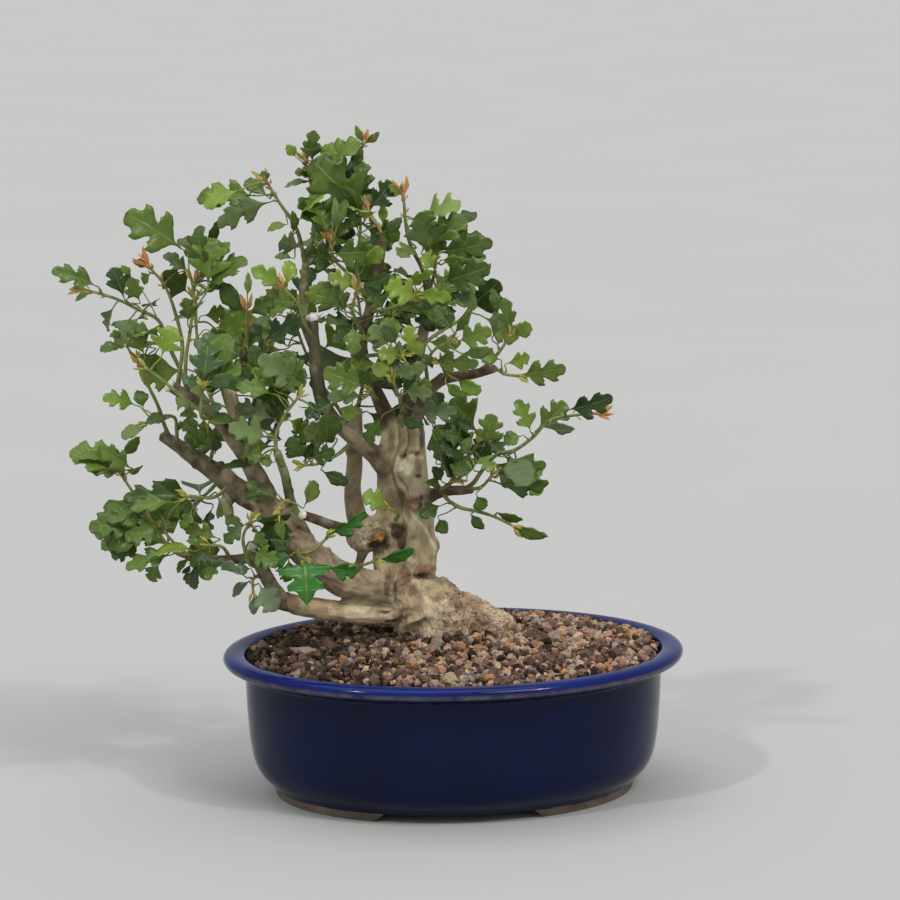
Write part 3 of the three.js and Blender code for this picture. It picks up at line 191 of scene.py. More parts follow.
def smooth_line(points, spacing):
    """A curve through the points, sampled about every spacing. Columns after the third ride along."""
    points = np.asarray(points, float)
    ends = np.vstack([2 * points[0] - points[1], points, 2 * points[-1] - points[-2]])
    line = []
    for a, b, c, d in zip(ends, ends[1:], ends[2:], ends[3:]):
        steps = [max(np.linalg.norm(q[:3] - p[:3]), 1e-6) for p, q in ((a, b), (b, c), (c, d))]
        t0, t1, t2, t3 = np.cumsum([0.0] + [step**0.5 for step in steps])
        for t in np.linspace(t1, t2, max(1, round(steps[1] / spacing)), endpoint=False):
            ab = a + (b - a) * (t - t0) / (t1 - t0)
            bc = b + (c - b) * (t - t1) / (t2 - t1)
            cd = c + (d - c) * (t - t2) / (t3 - t2)
            abc = ab + (bc - ab) * (t - t0) / (t2 - t0)
            bcd = bc + (cd - bc) * (t - t1) / (t3 - t1)
            line.append(abc + (bcd - abc) * (t - t1) / (t2 - t1))
    line.append(points[-1])
    return np.array(line)


def carried_frames(line):
    """Directions along a line, and two across it that don't spin."""
    ways = np.gradient(line, axis=0)
    ways /= np.linalg.norm(ways, axis=1)[:, None]
    across = np.array([0.31, 0.17, 0.93])
    first = []
    for way in ways:
        across = unit(across - way * (across @ way))
        first.append(across)
    first = np.array(first)
    return ways, first, np.cross(ways, first)


def ring_faces(rings, sides):
    """Quads between closed rings of points that lie one after the other."""
    faces = []
    for row in range(rings - 1):
        for i in range(sides):
            a, b = row * sides + i, row * sides + (i + 1) % sides
            faces.append((a, b, b + sides, a + sides))
    return faces


def end_faces(rings, sides):
    """Fans that close the first and the last ring to two middle points, which come after all rings."""
    faces = []
    last = (rings - 1) * sides
    for i in range(sides):
        j = (i + 1) % sides
        faces.append((j, i, rings * sides))
        faces.append((last + i, last + j, rings * sides + 1))
    return faces


def tube(line, radii, sides):
    """A closed tube with domed ends."""
    ways, first, second = carried_frames(line)
    angles = np.arange(sides) / sides * 2 * math.pi
    ring = np.cos(angles)[None, :, None] * first[:, None, :]
    ring = ring + np.sin(angles)[None, :, None] * second[:, None, :]
    points = (line[:, None, :] + ring * np.asarray(radii)[:, None, None]).reshape(-1, 3)
    ends = [line[0] - ways[0] * radii[0] * 0.5, line[-1] + ways[-1] * radii[-1] * 0.5]
    return np.vstack([points, ends]), ring_faces(len(line), sides) + end_faces(len(line), sides)


class Shape:
    """Points, faces and what each point carries: a tone, and a place on its own leaf or limb."""

    def __init__(self):
        self.points, self.faces, self.tones, self.spots, self.slots = [], [], [], [], []
        self.count = 0

    def add(self, points, faces, tone=(1, 1, 1), spot=(0, 0, 0), slot=0):
        points = np.asarray(points, float)
        start = self.count
        self.points.append(points)
        self.tones.append(np.broadcast_to(np.asarray(tone, float), points.shape))
        self.spots.append(np.broadcast_to(np.asarray(spot, float), points.shape))
        self.faces += [tuple(start + i for i in face) for face in faces]
        self.slots += [slot] * len(faces)
        self.count += len(points)


def new_piece(name, shape, materials, replaced=(), smooth=True):
    """A Blender object from a shape, riding on the body and standing for the nodes it replaces."""
    mesh = bpy.data.meshes.new(name)
    mesh.from_pydata((np.vstack(shape.points) * MM).tolist(), [], shape.faces)
    for material in materials:
        mesh.materials.append(material)
    mesh.polygons.foreach_set("material_index", shape.slots)
    mesh.polygons.foreach_set("use_smooth", [smooth] * len(shape.faces))
    tones = mesh.attributes.new("tone", "FLOAT_COLOR", "POINT")
    tones.data.foreach_set("color", np.column_stack([np.vstack(shape.tones), np.ones(shape.count)]).ravel())
    spots = mesh.attributes.new("spot", "FLOAT_VECTOR", "POINT")
    spots.data.foreach_set("vector", np.vstack(shape.spots).ravel())
    mesh.update()
    piece = bpy.data.objects.new(name, mesh)
    bpy.context.scene.collection.objects.link(piece)
    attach(piece, BODY)
    if replaced:
        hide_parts(*replaced)
    return piece


def applied(piece):
    """The piece with its modifiers worked into its mesh."""
    graph = bpy.context.evaluated_depsgraph_get()
    mesh = bpy.data.meshes.new_from_object(piece.evaluated_get(graph))
    piece.modifiers.clear()
    old, piece.data = piece.data, mesh
    bpy.data.meshes.remove(old)
    return piece


def read_rows(items, key, width=3, kind=float):
    values = np.zeros(len(items) * width, kind)
    items.foreach_get(key, values)
    return values.reshape(-1, width)


# Materials


def add_node(tree, kind, inputs=(), **settings):
    made = tree.nodes.new(kind)
    for key, value in settings.items():
        setattr(made, key, value)
    for key, value in dict(inputs).items():
        if isinstance(value, bpy.types.NodeSocket):
            tree.links.new(value, made.inputs[key])
        else:
            made.inputs[key].default_value = value
    return made


def new_material(name):
    material = bpy.data.materials.new(name)
    material.use_nodes = True
    tree = material.node_tree
    shader = tree.nodes["Principled BSDF"]
    return material, tree, shader


def carried(tree, name, part="Color"):
    return add_node(tree, "ShaderNodeAttribute", attribute_name=name).outputs[part]


def noise_of(tree, scale, detail=4.0, rough=0.55, place=None):
    inputs = {"Scale": scale, "Detail": detail, "Roughness": rough}
    inputs["Vector"] = place or add_node(tree, "ShaderNodeNewGeometry").outputs["Position"]
    return add_node(tree, "ShaderNodeTexNoise", inputs).outputs["Fac"]


def ranged(tree, value, low, high, new_low=0.0, new_high=1.0):
    inputs = {"Value": value, "From Min": low, "From Max": high, "To Min": new_low, "To Max": new_high}
    return add_node(tree, "ShaderNodeMapRange", inputs).outputs["Result"]


def sums(tree, operation, a, b=0.0):
    return add_node(tree, "ShaderNodeMath", {0: a, 1: b}, operation=operation).outputs[0]


def mixed(tree, factor, a, b, blend="MIX"):
    a, b = (value if isinstance(value, bpy.types.NodeSocket) else (*value, 1.0) for value in (a, b))
    inputs = {0: factor, 6: a, 7: b}
    return add_node(tree, "ShaderNodeMix", inputs, data_type="RGBA", blend_type=blend).outputs[2]


def tinted(tree, tone, shade):
    return mixed(tree, 1.0, tone, shade, "MULTIPLY")


def finished(tree, shader, base, roughness, specular=0.5):
    """Colour, roughness and gloss. Roughness is a number where it is the same all over."""
    tree.links.new(base, shader.inputs["Base Color"])
    if isinstance(roughness, bpy.types.NodeSocket):
        tree.links.new(roughness, shader.inputs["Roughness"])
    else:
        shader.inputs["Roughness"].default_value = roughness
    shader.inputs["Specular IOR Level"].default_value = specular


def bumped(tree, shader, height, distance, strength=1.0, under=None):
    inputs = {"Height": height, "Distance": distance * MM, "Strength": strength}
    if under is not None:
        inputs["Normal"] = under
    bump = add_node(tree, "ShaderNodeBump", inputs).outputs[0]
    tree.links.new(bump, shader.inputs["Normal"])
    return bump


def glaze_material():
    """Dark blue glaze. Spot is (share of brighter cobalt on the lip, share of the pale edge where the glaze
    is thin, with a painted reflection, 0).
    """
    material, tree, shader = new_material("glaze")
    cloud = noise_of(tree, 22.0, 3.0)
    fine = noise_of(tree, 420.0, 2.0)
    body = mixed(tree, ranged(tree, cloud, 0.3, 0.75), linear(2, 10, 40), linear(5, 19, 62))
    thin = mixed(tree, ranged(tree, cloud, 0.3, 0.7), linear(10, 24, 84), linear(20, 38, 112))
    lip, edge, _ = add_node(tree, "ShaderNodeSeparateXYZ", {0: carried(tree, "spot", "Vector")}).outputs
    base = mixed(tree, lip, body, thin)
    # Pale outer edge of the lip: glaze breaking thin there, with a painted reflection of the room on top
    worn_and_reflected = sums(tree, "MULTIPLY", edge, ranged(tree, noise_of(tree, 130.0, 4.0), 0.35, 0.65, 0.15, 0.75))
    base = mixed(tree, worn_and_reflected, base, linear(132, 118, 118))
    finished(tree, shader, base, ranged(tree, noise_of(tree, 60.0, 5.0), 0.3, 0.8, 0.07, 0.18))
    shader.inputs["IOR"].default_value = 1.28
    peel = bumped(tree, shader, noise_of(tree, 90.0, 2.0), 0.06, 0.25)
    bumped(tree, shader, ranged(tree, fine, 0.62, 0.8), 0.05, 0.4, peel)
    return material


def clay_material():
    material, tree, shader = new_material("bare_clay")
    broad = noise_of(tree, 45.0, 5.0)
    fine = noise_of(tree, 700.0, 3.0)
    base = mixed(tree, ranged(tree, broad, 0.3, 0.7), linear(96, 84, 74), linear(138, 124, 110))
    base = mixed(tree, ranged(tree, fine, 0.55, 0.75, 0.0, 0.6), base, linear(82, 70, 60))
    finished(tree, shader, base, 0.9)
    bumped(tree, shader, fine, 0.25, 0.7)
    return material


def soil_material():
    material, tree, shader = new_material("soil_bed")
    base = mixed(tree, noise_of(tree, 300.0, 5.0), linear(38, 27, 20), linear(92, 68, 50))
    finished(tree, shader, base, 0.95)
    bumped(tree, shader, noise_of(tree, 700.0, 5.0), 0.6)
    return material


def grain_material():
    """Lava, pumice and baked clay: each grain has its own tone, with pores and dust."""
    material, tree, shader = new_material("grains")
    tone = carried(tree, "tone")
    pores = noise_of(tree, 1500.0, 3.0, 0.7)
    base = mixed(tree, ranged(tree, pores, 0.35, 0.65), tinted(tree, tone, (0.5, 0.47, 0.45)), tone)
    dust = ranged(tree, noise_of(tree, 500.0, 4.0), 0.55, 0.75, 0.0, 0.35)
    finished(tree, shader, mixed(tree, dust, base, linear(178, 160, 140)), 0.93, 0.25)
    bumped(tree, shader, pores, 0.3, 0.8)
    return material


def bark_material():
    """Tone comes with the points. Spot is a place along and round each limb, in millimetres."""
    material, tree, shader = new_material("bark")
    tone = carried(tree, "tone")
    fibre = noise_of(tree, 0.55, 6.0, 0.65, carried(tree, "spot", "Vector"))
    patch = noise_of(tree, 90.0, 5.0, 0.6)
    fleck = noise_of(tree, 900.0, 3.0, 0.6)
    base = mixed(tree, ranged(tree, fibre, 0.3, 0.7, 0.5, 0.0), tone, tinted(tree, tone, (0.56, 0.50, 0.43)))
    base = mixed(tree, ranged(tree, patch, 0.5, 0.72, 0.0, 0.35), base, linear(214, 202, 174))
    base = mixed(tree, ranged(tree, fleck, 0.58, 0.72, 0.0, 0.5), base, linear(92, 72, 54))
    scaly = carried(tree, "scaly", "Fac")
    steps = sums(tree, "MULTIPLY", noise_of(tree, 210.0, 5.0, 0.62), 9.0)
    share = sums(tree, "FRACT", steps)
    plates = sums(tree, "ADD", sums(tree, "SUBTRACT", steps, share), ranged(tree, share, 0.72, 1.0))
    # Painted shade on the steep steps between bark plates, where the bark is flaky
    plate_edge_shade = ranged(tree, share, 0.6, 0.74)
    plate_edge_shade = sums(tree, "MULTIPLY", plate_edge_shade, ranged(tree, share, 0.74, 0.92, 1.0, 0.0))
    plate_edge_shade = sums(tree, "MULTIPLY", plate_edge_shade, scaly)
    base = mixed(tree, sums(tree, "MULTIPLY", plate_edge_shade, 0.85), base, tinted(tree, tone, (0.24, 0.17, 0.13)))
    finished(tree, shader, base, 0.86, 0.3)
    coarse = bumped(tree, shader, fibre, 0.5, 0.9)
    coarse = bumped(tree, shader, sums(tree, "MULTIPLY", plates, scaly), 0.5, 0.7, coarse)
    bumped(tree, shader, fleck, 0.16, 0.7, coarse)
    return material


def speckled_material(name, grain, spread, low, high, roughness, depth, strength):
    """One colour clouded with another. Grain is (scale, detail), spread (from, to, most of the other)."""
    material, tree, shader = new_material(name)
    cloud = noise_of(tree, *grain)
    start, full, most = spread
    base = mixed(tree, ranged(tree, cloud, start, full, 0.0, most), linear(*low), linear(*high))
    finished(tree, shader, base, roughness)
    bumped(tree, shader, cloud, depth, strength)
    return material


def leaf_material():
    """Spot is (share along the rib, share of the way to the edge, 1 on the underside)."""
    material, tree, shader = new_material("leaf")
    tone = carried(tree, "tone")
    place = add_node(tree, "ShaderNodeSeparateXYZ", {0: carried(tree, "spot", "Vector")})
    along, aside, below = place.outputs
    side = sums(tree, "ABSOLUTE", aside)
    rib = ranged(tree, side, 0.015, 0.06, 1.0, 0.0)
    wave = sums(tree, "FRACT", sums(tree, "MULTIPLY", along, 6.0))
    vein = ranged(tree, sums(tree, "ABSOLUTE", sums(tree, "SUBTRACT", wave, 0.5)), 0.0, 0.09, 1.0, 0.0)
    vein = sums(tree, "MULTIPLY", vein, ranged(tree, side, 0.2, 1.0, 0.8, 0.15))
    mottle = noise_of(tree, 260.0, 4.0)
    fine = noise_of(tree, 1100.0, 3.0)
    top = mixed(tree, ranged(tree, mottle, 0.35, 0.7), tinted(tree, tone, (0.74, 0.78, 0.68)), tone)
    light = mixed(tree, 0.5, tone, linear(158, 178, 104))
    top = mixed(tree, sums(tree, "MULTIPLY", vein, 0.16), top, light)
    top = mixed(tree, sums(tree, "MULTIPLY", rib, 0.5), top, linear(168, 186, 106))
    pale = mixed(tree, 0.45, tone, linear(142, 158, 112))
    pale = mixed(tree, sums(tree, "MULTIPLY", vein, 0.35), pale, linear(176, 186, 142))
    base = mixed(tree, below, top, pale)
    rough = sums(tree, "ADD", ranged(tree, fine, 0.3, 0.7, 0.3, 0.42), sums(tree, "MULTIPLY", below, 0.25))
    finished(tree, shader, base, rough)
    ridge = bumped(tree, shader, sums(tree, "MAXIMUM", vein, rib), 0.25, 0.6)
    bumped(tree, shader, fine, 0.06, 0.5, ridge)
    glow = add_node(tree, "ShaderNodeBsdfTranslucent", {"Color": tinted(tree, base, (1.25, 1.3, 0.7))})
    blend = add_node(tree, "ShaderNodeMixShader", {0: 0.3, 1: shader.outputs[0], 2: glow.outputs[0]})
    tree.links.new(blend.outputs[0], tree.nodes["Material Output"].inputs["Surface"])
    return material


def stem_material():
    """Young wood, stalks, buds and scales: tone comes with the points."""
    material, tree, shader = new_material("stem")
    tone = carried(tree, "tone")
    streak = noise_of(tree, 500.0, 4.0)
    base = mixed(tree, ranged(tree, streak, 0.35, 0.65), tinted(tree, tone, (0.62, 0.58, 0.52)), tone)
    finished(tree, shader, base, 0.5, 0.4)
    bumped(tree, shader, streak, 0.1, 0.5)
    return material


def floor_material():
    material, tree, shader = new_material("floor")
    base = mixed(tree, noise_of(tree, 3.0, 4.0), linear(180, 180, 178), linear(185, 185, 183))
    finished(tree, shader, base, 0.8, 0.2)
    return material


GLAZE = glaze_material()
CLAY = clay_material()
SOIL = soil_material()
GRAIN = grain_material()
BARK = bark_material()
PASTE = speckled_material(
    "paste", (260.0, 5.0), (0.4, 0.75, 0.6), (232, 230, 220), (168, 158, 140), 0.75, 0.3, 0.8,
)
NET = speckled_material("net", (400.0, 4.0), (0.4, 0.8, 0.5), (30, 32, 34), (70, 72, 74), 0.55, 0.1, 0.5)
LEAF = leaf_material()
STEM = stem_material()

# Pot. Each row is [height, inset from the rim's outline]. The foot keeps its corners, the rest is one
# flowing section from the glaze line up the wall, over the lip and down inside to the floor.
FOOT_ROWS = [(FOOT_HEIGHT, 31.2), (0.5, 30.4), (0, 29.8), (0, 23.6), (0.6, 23.0), (4.0, 22.2)]
WALL_ROWS = [
    (4.2, 21.8), (6.5, 20.0), (10.5, 16.3), (16, 13.5), (26, 11.6), (42, 10.4), (55, 9.8), (57.4, 9.3),
    (58.6, 6.6), (59.9, 3.0), (61.4, 0.8), (63.9, 0), (65.6, 1.2), (66.4, 4.0), (66.1, 7.4), (65.2, 9.8),
    (62.6, 10.8), (60.4, 12.8), (58, 14.4), (42, 15.4), (24, 16.6), (14, 21.0), (FLOOR_TOP + 0.4, 26.0),
    (FLOOR_TOP, 31.0),
]
GLAZE_SLOT = 0
CLAY_SLOT = 1
LIP_LOWEST = 61.4
LIP_FULL = 65.0
LIP_DEEPEST = 12.0
EDGE_HEIGHT = 62.4
EDGE_REACH = 1.3
EDGE_DEEPEST = 2.5


def oval_rings(rows, sides, ripple):
    """Oval rings as points, with the faces between them. Rows are (height, inset)."""
    points = []
    for row, (height, inset) in enumerate(rows):
        for i in range(sides):
            angle = i / sides * 2 * math.pi
            across = (POT_LENGTH / 2 - inset) * math.cos(angle)
            deep = (POT_DEPTH / 2 - inset) * math.sin(angle)
            points.append((across, deep, height + ripple(row, angle)))
    return points, ring_faces(len(rows), sides)


def make_pot():
    """One fired body: glazed wall and lip, bare foot ring with a gap at the front and the back."""
    wall = smooth_line([(height, inset, 0) for height, inset in WALL_ROWS], 0.9)[:, :2]
    rows = FOOT_ROWS + [tuple(row) for row in wall]
    first_glazed = len(FOOT_ROWS)

    def glaze_edge(row, angle):
        if row != first_glazed:
            return 0.0
        return 0.5 * noise.noise(Vector((9 * math.cos(angle), 7 * math.sin(angle), 3.1)))

    points, faces = oval_rings(rows, POT_SIDES, glaze_edge)
    faces += end_faces(len(rows), POT_SIDES)
    points = np.array(points + [(0, 0, FOOT_HEIGHT), (0, 0, FLOOR_TOP)])
    lip = np.zeros((len(points), 3))
    for row, (height, inset) in enumerate(rows):
        share = smooth_step(LIP_LOWEST, LIP_FULL, height)
        share *= 1 - smooth_step(LIP_DEEPEST - 3, LIP_DEEPEST, inset)
        # The lip's pale outer edge: thin glaze with a painted reflection
        edge = max(1 - abs(height - EDGE_HEIGHT) / EDGE_REACH, 0) * (inset < EDGE_DEEPEST)
        lip[row * POT_SIDES:(row + 1) * POT_SIDES, :2] = 0.25 + 0.6 * share if share > 0 else 0.0, edge
    shape = Shape()
    shape.add(points + POT_MIDDLE, faces, spot=lip)
    rings = len(FOOT_ROWS) * POT_SIDES
    middle = len(points) - 2
    shape.slots = [CLAY_SLOT if max(face) < rings or middle in face else GLAZE_SLOT for face in faces]
    pot = new_piece("glazed_pot", shape, [GLAZE, CLAY], ["pot"])
    cutters = [notch(side) for side in (-1, 1)] + [drain_hole(side) for side in (-1, 1)]
    for cutter in cutters:
        cut = pot.modifiers.new("cut", "BOOLEAN")
        cut.object = cutter
        cut.solver = "EXACT"
        cut.material_mode = "INDEX"
    applied(pot)
    for cutter in cutters:
        bpy.data.objects.remove(cutter)


def cutter_of(name, points, faces):
    mesh = bpy.data.meshes.new(name)
    mesh.from_pydata([tuple((np.array(point) + POT_MIDDLE) * MM) for point in points], [], faces)
    for _ in (GLAZE_SLOT, CLAY_SLOT):
        mesh.materials.append(CLAY)
    mesh.polygons.foreach_set("material_index", [CLAY_SLOT] * len(faces))
    mesh.update()
    cutter = bpy.data.objects.new(name, mesh)
    bpy.context.scene.collection.objects.link(cutter)
    return cutter


def notch(side):
    """A prism with slanted ends that opens the foot ring at the front or the back."""
    top, bottom = NOTCH_TOP_WIDTH / 2, NOTCH_TOP_WIDTH / 2 + NOTCH_SLANT
    near, far = side * (POT_DEPTH / 2 - 42), side * (POT_DEPTH / 2 - 8)
    outline = [(-bottom, -1), (bottom, -1), (top, FOOT_HEIGHT - 0.2), (-top, FOOT_HEIGHT - 0.2)]
    points = [(NOTCH_ACROSS + x, y, z) for y in (min(near, far), max(near, far)) for x, z in outline]
    faces = [(0, 1, 2, 3), (7, 6, 5, 4), (0, 4, 5, 1), (1, 5, 6, 2), (2, 6, 7, 3), (3, 7, 4, 0)]
    return cutter_of("notch", points, faces)


def drain_hole(side):
    """A round rod through the pot's floor."""
    points = []
    for height in (-3, FLOOR_TOP + 4):
        for i in range(DRAIN_SIDES):
            angle = i / DRAIN_SIDES * 2 * math.pi
            x = side * DRAIN_ACROSS + DRAIN_RADIUS * math.cos(angle)
            points.append((x, DRAIN_RADIUS * math.sin(angle), height))
    ends = [tuple(reversed(range(DRAIN_SIDES))), tuple(range(DRAIN_SIDES, 2 * DRAIN_SIDES))]
    return cutter_of("drain", points, ring_faces(2, DRAIN_SIDES) + ends)


# Wood. Every row is (across, up, depth, radius).
ROOT_ROWS = [
    [(-14, 92, 11, 13), (-9, 80, 13, 17), (-6, 66, 14, 18.5), (-5, 52, 14, 15)],
    [
        (-14, 85, 11, 12.5), (2, 79.5, 13, 12), (12, 76.5, 14, 10.4), (22, 71.5, 15, 8.4), (30, 65, 16, 6),
        (38, 56, 16, 4),
    ],
    [(-19, 88, 8, 12), (-17, 78, 9, 10.5), (-13, 62, 10, 7)],
    [(-4, 80, 20, 12), (2, 70, 36, 8), (6, 56, 46, 4)],
    [(-18, 82, 20, 12), (-30, 70, 34, 7), (-40, 56, 42, 4)],
]
TRUNK_ROWS = [
    [
        (-14, 84, 11, 15.5), (-18.4, 98, 9, 11), (-17.2, 112, 8, 9.8), (-17, 130, 7, 7.8), (-17.2, 150, 6, 6),
        (-18, 176, 6, 5),
    ],
    [
        (-20, 84, 9, 13), (-25, 100, 8, 11), (-28, 114, 7, 8.6), (-28, 130, 6, 6.6), (-27.6, 150, 5, 6.2),
        (-26, 169, 5, 5),
    ],
]
LIMB_ROWS = {
    "burl": [(-26, 122, 8, 7), (-34, 119, 3, 8.4), (-42, 117, 1, 6.4), (-47, 118, 1, 4)],
    "stemBehind": [
        (-32, 116, 12, 7.5), (-42, 124, 15, 5.4), (-45, 137, 17, 3.9), (-44, 151, 18, 3.6),
        (-43.5, 164, 18, 3.5), (-43, 176, 18, 2.8),
    ],
    "branchUp": [
        (-27, 146, 5, 6), (-36, 156, 1, 4.8), (-48, 166, -5, 4.1), (-56, 175, -9, 3.9), (-60, 188, -11, 3.7),
        (-62, 217, -12, 2.8),
    ],
    "limbLow": [
        (-24, 83, 8, 8), (-37, 82, 1, 5.5), (-50, 82.8, -4, 5), (-70, 85.8, -7, 4.6), (-78, 88, -7, 4.5),
    ],
    "limbLowRise": [(-76, 86, -7, 4.4), (-82, 94, -9, 4.2), (-87, 104, -11, 3.8), (-91.5, 112.4, -12, 3.4)],
    "limbLeft": [
        (-24, 92, 8, 9), (-38, 94, 0, 8), (-49, 97.3, -5, 8.3), (-59, 103.8, -9, 7.6), (-71, 115.5, -12, 6.9),
        (-78, 125, -12, 6.8), (-86, 133.5, -11, 6.6),
    ],
    "limbLeftOuter": [
        (-84, 132.5, -11, 6.4), (-97, 139.5, -5, 5.8), (-108, 148.5, 1, 4.9), (-120, 157.5, 6, 4.1),
        (-131, 165, 8, 3.1),
    ],
    "limbLeftUpper": [
        (-84, 135, -12, 6), (-90, 149, -16, 4.8), (-99, 163, -17, 3.8), (-112, 178, -15, 3.2),
        (-126, 187, -13, 2.9),
    ],
    "stubPale": [(-91, 158, -14, 3.4), (-97, 174, -7, 3), (-100.5, 188.5, -3, 2.5)],
    "twigBurl": [(-44, 119, 1, 3), (-54, 122.5, -8, 2.3), (-63, 126, -18, 2), (-67.6, 127.6, -22.5, 1.8)],
    "twigLow": [(-89, 108, -11, 2.6), (-104, 107.5, -12, 1.7), (-121, 108.4, -12, 1.4)],
    "twigRight": [(-14, 134, 7, 4), (-6, 137.5, 2, 2.4), (4, 138.5, -4, 2), (9, 138.6, -7, 1.7)],
    "twigTop": [
        (-17.5, 172, 6, 5), (-12, 182, 2, 3), (-4, 189, -4, 2.4), (10, 191.5, -10, 2), (20, 194, -12, 1.6),
    ],
    "twigCrown": [
        (-27, 168, 5, 4.4), (-34, 184, 4, 3), (-40, 202, 0, 2.4), (-36, 222, -4, 2.2), (-32, 240, -6, 1.9),
        (-30, 253, -7, 1.6),
    ],
    "twigBack": [
        (-20, 168, 8, 4.4), (-18, 186, 16, 3.2), (-14, 204, 22, 2.6), (-10, 222, 22, 2), (-11, 238, 16, 1.6),
    ],
    "twigLeft": [(-100, 186, -3, 1.6), (-95, 194, -6, 1.9), (-92, 204, -8, 1.8)],
    "cutGreen": [(-104, 147, -2, 1.6), (-101, 128, -14, 1.8), (-104, 136, -15, 1.5)],
    "shootGreen": [(-66, 118, -11, 2.2), (-72.5, 132, -7, 2.1), (-75.5, 146, -16, 1.9), (-79, 157, -24, 1.7)],
    "stemCrownLeft": [(-61.5, 205, -8, 2.4), (-65, 214, -4, 2), (-66, 227, -3.5, 1.8), (-64.6, 242, -5, 1.5)],
}
HORN = [(-40, 114, 1, 3.6), (-41.6, 108, -2, 2.0), (-43.4, 102, -4, 1.5), (-43, 99, -5, 1.0)]
SEALED_LIMBS = {
    "seal_branch_top": "branchUp",
    "seal_limb_upper": "limbLeftUpper",
    "seal_limb_low": "limbLowRise",
    "seal_twig_burl": "twigBurl",
}
# Each kind of bark: its screen colour and how much it is brightened
BARK_KINDS = {
    "trunk": (182, 170, 134, 1.5),
    "root": (198, 174, 146, 1.4),
    "tan": (174, 156, 128, 1.1),
    "pale": (206, 188, 152, 1.2),
    "brown": (136, 120, 92, 0.9),
    "olive": (122, 114, 86, 0.7),
    "twig": (104, 86, 68, 0.75),
    "green": (138, 156, 98, 0.95),
}
BRIGHTEST_BARK = 0.88
LIMB_TONES = {
    "burl": "trunk", "stemBehind": "tan", "branchUp": "brown", "limbLow": "pale", "limbLowRise": "olive",
    "limbLeft": "tan", "limbLeftOuter": "olive", "limbLeftUpper": "olive", "stubPale": "pale",
    "cutGreen": "green", "shootGreen": "green", "stemCrownLeft": "green",
}
DARK_WOOD = (44, 32, 25)
RED_WOOD = (92, 58, 44)
CUT_WOOD = (226, 146, 66)
PALE_PATCH = (210, 204, 170)
SEAM_PALE = (216, 204, 172)

